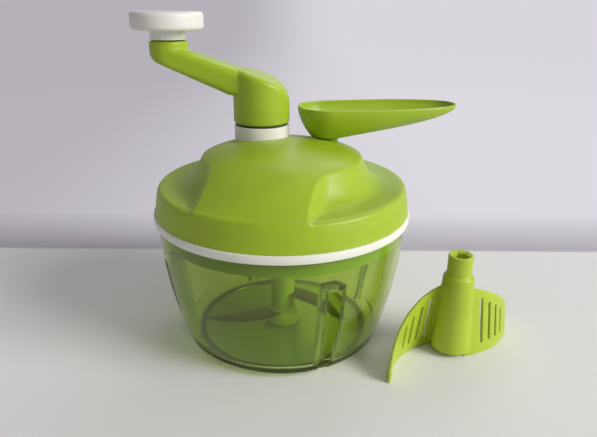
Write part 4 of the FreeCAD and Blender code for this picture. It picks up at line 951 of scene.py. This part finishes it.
def arm_mesh(size):
    """Rounded sections between the arm's lower and upper sides, carried from the hub to the round end."""
    bend = np.linspace(0.0, math.pi / 2.0, 14)[1:]
    straight = np.linspace(0.0, size.throw, 40)
    station = np.concatenate([straight, size.throw + size.end_radius * np.sin(bend)])[:, None]
    station = np.minimum(station, size.throw + size.end_radius - 0.02 * MM)
    low = np.interp(station, ARM_LOWER_SIDE[:, 0], ARM_LOWER_SIDE[:, 1])
    high = np.minimum(arm_top(station), size.end_top - 2.2 * MM)
    half = ARM_ROOT_HALF + (size.end_radius - ARM_ROOT_HALF) * np.clip(station / size.throw, 0.0, 1.0)
    beyond = np.clip((station - size.throw) / size.end_radius, 0.0, 1.0)
    half = half * np.sqrt(1.0 - beyond**2)
    turn = np.linspace(0.0, FULL_TURN, 96, endpoint=False)
    across = np.sign(np.cos(turn)) * np.abs(np.cos(turn)) ** ARM_SQUARENESS
    upward = np.sign(np.sin(turn)) * np.abs(np.sin(turn)) ** ARM_SQUARENESS
    middle = (low + high) / 2.0
    tall = (high - low) / 2.0
    points = np.stack([station + 0.0 * turn, half * across, middle + tall * upward], axis=-1)
    return surface("arm", capped(points))


def crank_mesh(size):
    """Hub, arm and round end, fused, then turned to their place about the crank's axis."""
    end = rounded(
        [
            (0.0, size.end_top - 12.0 * MM),
            (size.end_radius - 2.0 * MM, size.end_top - 12.0 * MM),
            (size.end_radius, size.end_top - 8.0 * MM),
            (size.end_radius, size.end_top),
            (0.0, size.end_top),
        ],
        [0.0, 2.0 * MM, 2.0 * MM, 0.8 * MM, 0.0],
    )
    boss = turned_mesh("end", end, 96, (size.throw, 0.0, 0.0))
    whole = fused(joined("crank_body", [hub_mesh(size), arm_mesh(size), boss]), 9)
    whole.transform(Matrix.Rotation(math.pi, 4, "Z"))
    whole.transform(Matrix.Translation(Vector(axis_of("crank_spin"))))
    return whole


class CHOPPER_OT_crank(bpy.types.Operator):
    """Make the crank's collar and arm"""

    bl_idname = "chopper.make_crank"
    bl_label = "Crank"

    def execute(self, context):
        size = context.scene.chopper_crank
        placed("collar_ring", collar_mesh(size, context.scene.chopper_lid), "lid", "knob_white", ["crank_collar"])
        placed("crank_body", crank_mesh(size), "crank", "lid_green", ["crank_arm"], 60.0)
        return {"FINISHED"}


class CHOPPER_OT_knob(bpy.types.Operator):
    """Make the flat knob and its cap"""

    bl_idname = "chopper.make_knob"
    bl_label = "Knob"

    def execute(self, context):
        size = context.scene.chopper_crank
        centre = axis_of("knob_spin")
        low = node_low("knob")[2]
        high = node_high("knob")[2]
        cap_radius = 8.9 * MM
        pin = 3.1 * MM
        disc = high - 11.0 * MM
        corners = [
            (pin, low),
            (size.knob_neck, low),
            (size.knob_neck, disc),
            (size.knob_radius, disc),
            (size.knob_radius, high),
            (cap_radius + 0.1 * MM, high),
            (cap_radius + 0.1 * MM, high - 1.4 * MM),
            (pin, high - 1.4 * MM),
        ]
        r = size.knob_round
        cuts = [0.3 * MM, 0.8 * MM, 1.2 * MM, r, r, 0.25 * MM, 0.1 * MM, 0.2 * MM]
        profile = rounded(corners, cuts, 6, closed=True)
        placed("knob_disc", turned_mesh("knob_disc", profile, 160, centre, True), "knob", "knob_white", ["knob"])
        cap = rounded(
            [(0.0, high - 1.4 * MM), (cap_radius, high - 1.4 * MM), (cap_radius, high), (0.0, high)],
            [0.0, 0.1 * MM, 0.25 * MM, 0.0],
        )
        placed("knob_cover", turned_mesh("knob_cover", cap, 96, centre), "knob", "knob_white", ["knob_cap"])
        return {"FINISHED"}


# Funnel


SPOUT_AXIS = np.array([30.0, 27.5, 0.0]) * MM
FUNNEL_COLUMNS = 160
THROAT_PULL = 1.9


def funnel_outline(turn, size, shrink, pull):
    """A long end, a blunt end and full sides: x = reach cos a or back cos a, y = half width |sin a|^0.8.

    It shrinks by a wall's thickness for the inner skin. The pull moves it onto the throat's circle, from 0 at
    the mouth to 1 at the throat.
    """
    c = np.cos(turn)
    s = np.sin(turn)
    x = np.where(c > 0.0, size.reach, size.back) * c
    half = size.half * (0.84 + 0.16 * np.clip(x / size.reach * 1.6, -1.0, 1.0))
    y = half * np.sign(s) * np.abs(s) ** 0.8
    x = x - shrink * c
    y = y - shrink * s
    throat = size.throat_radius - shrink
    return x + (throat * c - x) * pull, y + (throat * s - y) * pull


def funnel_skin(size, shrink, low, high, rows):
    """Outlines from mouth to throat. The pull is the depth, from 0 to 1, to the power THROAT_PULL."""
    turn = np.linspace(0.0, FULL_TURN, FUNNEL_COLUMNS, endpoint=False)
    depth = np.linspace(0.0, 1.0, rows)[:, None]
    x, y = funnel_outline(turn, size, shrink, depth**THROAT_PULL)
    z = high + (low - high) * depth + 0.0 * x
    return np.stack([x, y, z], axis=-1)


def funnel_mesh(size):
    """Outer skin, spout and inner skin as one closed run of outlines, joined over a rounded lip."""
    lip_foot = size.rim_height - 0.6 * MM
    outer = funnel_skin(size, 0.0, size.throat_height, lip_foot, 40)
    inner = funnel_skin(size, size.wall, size.throat_height + size.wall, lip_foot, 40)
    lip = np.concatenate([outer[:1] * (1.0 - share) + inner[:1] * share for share in (0.15, 0.5, 0.85)])
    lip[..., 2] = size.rim_height
    bottom = node_low("funnel")[2]
    bore = size.spout_radius - size.wall
    spout = rounded(
        [
            (size.throat_radius - 0.2 * MM, size.throat_height),
            (size.spout_radius, size.throat_height - 0.5 * MM),
            (size.spout_radius, bottom),
            (bore, bottom),
            (bore, size.throat_height + 1.0 * MM),
            (size.throat_radius - size.wall - 0.4 * MM, size.throat_height + size.wall),
        ],
        [0.0, 0.5 * MM, 0.5 * MM, 0.4 * MM, 1.2 * MM, 0.0],
    )
    points = np.concatenate([lip[::-1], outer, turned_points(spout, FUNNEL_COLUMNS), inner[::-1]])
    mesh = surface("funnel_scoop", points, wrap_rows=True)
    mesh.transform(Matrix.Rotation(size.turn, 4, "Z"))
    mesh.transform(Matrix.Translation(Vector(SPOUT_AXIS)))
    return mesh


class CHOPPER_OT_funnel(bpy.types.Operator):
    """Make the boat-shaped funnel with its spout"""

    bl_idname = "chopper.make_funnel"
    bl_label = "Funnel"

    def execute(self, context):
        mesh = funnel_mesh(context.scene.chopper_funnel)
        placed("funnel_scoop", mesh, "funnel", "lid_green", ["funnel"], 50.0)
        return {"FINISHED"}


# Inserts


PADDLE_AXIS = (111.8 * MM, -31.5 * MM, 0.0)
SOCKET_FLATS = 9.4 * MM
FIRST_BLADE_TURN = 200.0
BLADE_STEP = 120.0
FIRST_SLOT = 11.5 * MM
SLOT_PITCH = 7.0 * MM
SLOT_FOOT = 7.0 * MM
SLOT_HEADROOM = 10.0 * MM
SLOT_FALL = 4.5 * MM


def socket_cutter(top, depth):
    """A six-sided prism about the vertical axis, from a depth below a height to 1 mm above it."""
    radius = SOCKET_FLATS / 2.0 / math.cos(math.radians(30.0))
    low = top - depth
    high = top + 1.0 * MM
    return turned_mesh("socket", [(0.0, low), (radius, low), (radius, high), (0.0, high)], 6)


def lead_in_cutter(top, radius, depth):
    """A cone that widens upwards by its own depth, for the mouth of a socket that opens at a height."""
    profile = [(0.0, top - depth), (radius, top - depth), (radius + 2.0 * depth, top + depth), (0.0, top + depth)]
    return turned_mesh("lead_in", profile, 64)


def blade_mesh(size, height, thickness):
    """A sickle: points run from back to edge across, root to tip along, and thin out over the ground share."""
    along = 48
    root = -4.6 * MM
    back = arc_through(
        (root, size.blade_root),
        (size.blade_tip * 0.55, size.blade_belly),
        (size.blade_tip, -1.2 * MM),
        along,
    )
    edge = arc_through(
        (root, -size.blade_root),
        (size.blade_tip * 0.52, -1.5 * MM),
        (size.blade_tip - 1.5 * MM, -3.4 * MM),
        along,
    )
    across = np.array([0.0, 0.04, 0.3, 1.0 - size.blade_grind, 0.97, 1.0])
    thin = np.array([0.62, 1.0, 1.0, 1.0, 0.22, 0.10])
    share = np.concatenate([across, across[::-1]])[None, :, None]
    side = np.concatenate([thin, -thin[::-1]])[None, :]
    flat = back[:, None, :] + (edge - back)[:, None, :] * share
    z = height + thickness / 2.0 * (1.0 + side) + np.zeros((along, 1))
    points = np.concatenate([flat, z[..., None]], axis=-1)
    return surface("blade", capped(points))


class CHOPPER_OT_blade_insert(bpy.types.Operator):
    """Make the bladed insert: its hub and three ground blades"""

    bl_idname = "chopper.make_blade_insert"
    bl_label = "Blade insert"

    def execute(self, context):
        size = context.scene.chopper_inserts
        low = node_low("blade_hub")[2]
        high = node_high("blade_hub")[2]
        boss_top = low + 2.4 * MM
        boss = 5.5 * MM
        flange = 13.0 * MM
        tube = 8.0 * MM
        head = 7.7 * MM
        profile = rounded(
            [
                (0.0, boss_top),
                (boss, boss_top),
                (boss, low),
                (flange, low),
                (flange, low + 6.6 * MM),
                (tube, low + 9.6 * MM),
                (tube, high - 18.0 * MM),
                (head, high - 17.0 * MM),
                (head, high),
                (0.0, high),
            ],
            [0.0, 0.2 * MM, 0.4 * MM, 0.6 * MM, 1.6 * MM, 2.0 * MM, 0.3 * MM, 0.3 * MM, 0.6 * MM, 0.0],
        )
        hub = without(turned_mesh("hub", profile, 96), socket_cutter(high, 16.0 * MM))
        placed("insert_hub", hub, "blade_insert", "insert_green", ["blade_hub"], 40.0)
        for level, node in enumerate(("blade_lower", "blade_middle", "blade_upper")):
            bottom = node_low(node)[2]
            mesh = blade_mesh(size, bottom, node_high(node)[2] - bottom)
            mesh.transform(Matrix.Rotation(math.radians(FIRST_BLADE_TURN + BLADE_STEP * level), 4, "Z"))
            placed(node + "_ground", mesh, "blade_insert", "blade_steel", [node], 20.0)
        return {"FINISHED"}


def wing_columns(size):
    """Distances along a wing, with a pair at each slot's sides."""
    slots = FIRST_SLOT + SLOT_PITCH * np.arange(size.slot_count)
    plain = np.linspace(0.0, size.wing_reach, 40)
    return np.unique(np.concatenate([plain, slots, slots + size.slot_width])), slots


def wing_mesh(size):
    """A leaning curved sheet with upright slots, given its thickness.

    Along it, the plan is an arc from beside the hub to the tip, and the height is an arc from root to tip.
    """
    along, slots = wing_columns(size)
    reach = size.wing_reach
    plan_centre, plan_radius = circle_through(
        (0.0, -size.wing_root_side), (reach * 0.45, -size.wing_mid_side), (reach, 0.0)
    )
    side = plan_centre[1] - np.sqrt(plan_radius**2 - (along - plan_centre[0]) ** 2)
    top_centre, top_radius = circle_through(
        (0.0, size.wing_root_height), (reach * 0.54, size.wing_mid_height), (reach, size.wing_tip_height)
    )
    top = top_centre[1] + np.sqrt(top_radius**2 - (along - top_centre[0]) ** 2)
    rows = 40
    up = np.linspace(0.0, 1.0, rows)[:, None]
    z = up * top
    y = side + size.wing_lean * z / size.wing_root_height
    x = along + 0.0 * z
    points = np.stack([x, y, z], axis=-1)
    faces = grid_faces(rows, len(along), wrap_columns=False)
    middle = points.reshape(-1, 3)[faces].mean(axis=1)
    keep = np.ones(len(faces), dtype=bool)
    for number, start in enumerate(slots):
        inside = (middle[:, 0] > start) & (middle[:, 0] < start + size.slot_width)
        high = size.wing_root_height - SLOT_HEADROOM - SLOT_FALL * number
        keep &= ~(inside & (middle[:, 2] > SLOT_FOOT) & (middle[:, 2] < high))
    sheet = mesh_from("wing", points, faces[keep])

    def thicken(carrier):
        solid = carrier.modifiers.new("thick", "SOLIDIFY")
        solid.thickness = size.wing_thickness
        solid.offset = 0.0

    return modified(sheet, thicken)


class CHOPPER_OT_paddle_insert(bpy.types.Operator):
    """Make the paddle insert: a tapered hub with two slotted wings"""

    bl_idname = "chopper.make_paddle_insert"
    bl_label = "Paddle insert"

    def execute(self, context):
        size = context.scene.chopper_inserts
        foot = 3.0 * MM
        top = node_high("paddle_insert")[2]
        profile = rounded(
            [
                (0.0, foot),
                (size.hub_foot, foot),
                (size.hub_shoulder, size.hub_shoulder_height),
                (size.hub_neck, size.hub_shoulder_height + 1.5 * MM),
                (size.hub_neck, top),
                (0.0, top),
            ],
            [0.0, 0.6 * MM, 0.8 * MM, 0.6 * MM, 0.5 * MM, 0.0],
        )
        hub = turned_mesh("hub", profile, 96)
        wing = wing_mesh(size)
        other = wing.copy()
        other.transform(Matrix.Rotation(math.pi, 4, "Z"))
        whole = fused(joined("paddle", [hub, wing, other]), 3)
        whole = without(whole, socket_cutter(top, 11.7 * MM))
        whole = without(whole, lead_in_cutter(top, 5.0 * MM, 1.4 * MM))
        flat = vertices_of(whole)
        flat[:, 2] = np.maximum(flat[:, 2], 0.0)
        whole.vertices.foreach_set("co", flat.astype(np.float32).ravel())
        whole.transform(Matrix.Rotation(size.paddle_turn, 4, "Z"))
        whole.transform(Matrix.Translation(Vector(PADDLE_AXIS)))
        placed("paddle_whisk", whole, "paddle", "insert_green", ["paddle_insert"], 50.0)
        return {"FINISHED"}


class CHOPPER_OT_kept_parts(bpy.types.Operator):
    """Give every part that keeps its own shape the finish of its slot"""

    bl_idname = "chopper.finish_kept_parts"
    bl_label = "Kept parts"

    def execute(self, context):
        for part in frame["record"]["subparts"]:
            node = frame["nodes"][part["node"]]
            # painted shade: the crank's washer takes the dark foot_rubber finish from its slot, which paints the
            # shaded gap under the crank's hub
            finish = finish_for(part["material_slot"])
            for place in node.material_slots:
                place.material = finish
        return {"FINISHED"}


# Stage


CAMERA_PLACE = (10.70 * MM, -346.79 * MM, 214.90 * MM)
CAMERA_DOWN = 0.37226
CAMERA_ROLL = 0.00666
CAMERA_FOCUS_PIXELS = 560.0
FRAME_WIDTH_PIXELS = 597.0
SENSOR_WIDTH = 36.0

# The floor is a dish: flat to a radius, bent up over a reach, then upright to its top, all in metres
FLOOR_FLAT = 2.4
FLOOR_BEND = 1.0
FLOOR_TOP = 3.0

# Where the floor's tone turns, where the glow rises to its full share and where painted light pales it from the shaded
# left to the lit right
TONE_TURN = (0.121, 0.127)
GLOW_RISE = (0.121, 0.22)
GLOW_SHARE = 0.9
PAINTED_LIGHT_ACROSS = (-0.4, 0.25)

# Each lamp's place, the point that it faces, its width in metres, power in watts, beam in degrees and tone
LAMPS = {
    "key": ((2.2, -1.05, 1.3), (0.0, 0.0, 0.09), 1.3, 14.5, 80.0, (1.0, 0.99, 0.96)),
    "back": ((0.3, 0.9, 0.9), (0.0, 0.0, 0.1), 0.8, 3.0, 180.0, (1.0, 1.0, 1.0)),
}
SKY_TONE = (0.86, 0.85, 0.89)
SKY_STRENGTH = 0.40


def floor_finish(near, far, glow):
    """Pale floor that turns to the backdrop's tone behind the object, where it glows evenly to the eye.

    The glow is painted light: it runs from the backdrop's own tone on the shaded left to a paler one on the lit right,
    and only rays from the camera or through and off shiny things see it, so it lights nothing.
    """
    material, nodes, links = new_finish("studio_floor")
    shader = nodes["Principled BSDF"]
    shader.inputs["Roughness"].default_value = 0.75
    shader.inputs["Specular IOR Level"].default_value = 0.15
    place = nodes.new("ShaderNodeTexCoord")
    split = nodes.new("ShaderNodeSeparateXYZ")
    links.new(place.outputs["Object"], split.inputs["Vector"])

    def across(axis, span, low_tone, high_tone):
        """A colour that runs between two tones along an axis."""
        share = add_range(nodes, links, split.outputs[axis], 0.0, 1.0, *span, kind="SMOOTHSTEP")
        return add_mix(nodes, links, share, low_tone, high_tone)

    links.new(across("Y", TONE_TURN, near, far), shader.inputs["Base Color"])
    lamp = nodes.new("ShaderNodeEmission")
    # painted light: the glow is darker on the shaded left and paler on the lit right
    links.new(across("X", PAINTED_LIGHT_ACROSS, far, glow), lamp.inputs["Color"])
    rays = nodes.new("ShaderNodeLightPath").outputs
    shiny = add_math(nodes, links, "ADD", rays["Is Glossy Ray"], rays["Is Transmission Ray"])
    seen = add_math(nodes, links, "ADD", rays["Is Camera Ray"], shiny, clamp=True)
    depth = add_range(nodes, links, split.outputs["Y"], 0.0, GLOW_SHARE, *GLOW_RISE)
    share = add_math(nodes, links, "MULTIPLY", seen, depth)
    show_blend(nodes, links, share, shader.outputs["BSDF"], lamp.outputs["Emission"])
    return material


def add_panel_light(name, place, target, width, power, beam, tone):
    """A soft rectangular lamp that faces a target, with its beam in degrees."""
    lamp = bpy.data.lights.new(name, "AREA")
    lamp.shape = "SQUARE"
    lamp.size = width
    lamp.energy = power
    lamp.spread = math.radians(beam)
    lamp.color = tone
    holder = bpy.data.objects.new(name, lamp)
    direction = Vector(target) - Vector(place)
    holder.matrix_world = Matrix.Translation(Vector(place)) @ direction.to_track_quat("-Z", "Y").to_matrix().to_4x4()
    bpy.context.collection.objects.link(holder)


class CHOPPER_OT_stage(bpy.types.Operator):
    """Make the floor, the lamps and the camera"""

    bl_idname = "chopper.make_stage"
    bl_label = "Stage"

    def execute(self, context):
        scene = context.scene
        finishes = scene.chopper_finishes
        rise = np.linspace(0.0, math.pi / 2.0, 16)
        dish = np.stack([FLOOR_FLAT + FLOOR_BEND * np.sin(rise), FLOOR_BEND * (1.0 - np.cos(rise))], axis=-1)
        profile = np.concatenate([[(0.0, 0.0)], dish, [(FLOOR_FLAT + FLOOR_BEND, FLOOR_TOP)]])
        mesh = turned_mesh("floor", profile, 96)
        mesh.materials.append(floor_finish(finishes.floor, finishes.backdrop, finishes.backdrop_painted_lit_side))
        floor = bpy.data.objects.new("floor", mesh)
        context.collection.objects.link(floor)
        for name, settings in LAMPS.items():
            add_panel_light(name, *settings)
        world = bpy.data.worlds.new("studio")
        world.use_nodes = True
        sky = world.node_tree.nodes["Background"]
        sky.inputs["Color"].default_value = (*SKY_TONE, 1.0)
        sky.inputs["Strength"].default_value = SKY_STRENGTH
        scene.world = world
        scene.view_settings.view_transform = "Standard"
        camera = bpy.data.objects.new("camera", bpy.data.cameras.new("camera"))
        camera.data.sensor_width = SENSOR_WIDTH
        camera.data.lens = CAMERA_FOCUS_PIXELS * SENSOR_WIDTH / FRAME_WIDTH_PIXELS
        camera.data.clip_start = 0.01
        camera.matrix_world = (
            Matrix.Translation(CAMERA_PLACE)
            @ Matrix.Rotation(math.pi / 2.0 - CAMERA_DOWN, 4, "X")
            @ Matrix.Rotation(CAMERA_ROLL, 4, "Z")
        )
        context.collection.objects.link(camera)
        scene.camera = camera
        return {"FINISHED"}


class CHOPPER_PT_pieces(bpy.types.Panel):
    """The chopper's pieces, one button each"""

    bl_idname = "CHOPPER_PT_pieces"
    bl_label = "Food chopper"
    bl_space_type = "VIEW_3D"
    bl_region_type = "UI"
    bl_category = "Chopper"

    def draw(self, context):
        for operator in OPERATORS:
            self.layout.operator(operator.bl_idname)
        for name in SIZE_GROUPS:
            group = getattr(context.scene, name)
            box = self.layout.box()
            for key in group.__annotations__:
                box.prop(group, key)


SIZE_GROUPS = {
    "chopper_bowl": BowlSizes,
    "chopper_lid": LidSizes,
    "chopper_crank": CrankSizes,
    "chopper_funnel": FunnelSizes,
    "chopper_inserts": InsertSizes,
    "chopper_finishes": Finishes,
}

OPERATORS = (
    CHOPPER_OT_bowl,
    CHOPPER_OT_foot_ring,
    CHOPPER_OT_lid,
    CHOPPER_OT_seal,
    CHOPPER_OT_crank,
    CHOPPER_OT_knob,
    CHOPPER_OT_funnel,
    CHOPPER_OT_blade_insert,
    CHOPPER_OT_paddle_insert,
    CHOPPER_OT_kept_parts,
    CHOPPER_OT_stage,
)


def register():
    for group in SIZE_GROUPS.values():
        bpy.utils.register_class(group)
    for name, group in SIZE_GROUPS.items():
        setattr(bpy.types.Scene, name, PointerProperty(type=group))
    for operator in OPERATORS:
        bpy.utils.register_class(operator)
    bpy.utils.register_class(CHOPPER_PT_pieces)


def unregister():
    bpy.utils.unregister_class(CHOPPER_PT_pieces)
    for operator in reversed(OPERATORS):
        bpy.utils.unregister_class(operator)
    for name in SIZE_GROUPS:
        delattr(bpy.types.Scene, name)
    for group in reversed(list(SIZE_GROUPS.values())):
        bpy.utils.unregister_class(group)


def main():
    """Makes every piece and the stage."""
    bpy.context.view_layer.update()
    register()
    bpy.ops.chopper.make_bowl()
    bpy.ops.chopper.make_foot_ring()
    bpy.ops.chopper.make_lid()
    bpy.ops.chopper.make_seal()
    bpy.ops.chopper.make_crank()
    bpy.ops.chopper.make_knob()
    bpy.ops.chopper.make_funnel()
    bpy.ops.chopper.make_blade_insert()
    bpy.ops.chopper.make_paddle_insert()
    bpy.ops.chopper.finish_kept_parts()
    bpy.ops.chopper.make_stage()
    bpy.context.view_layer.update()


if __name__ == "__main__":
    main()
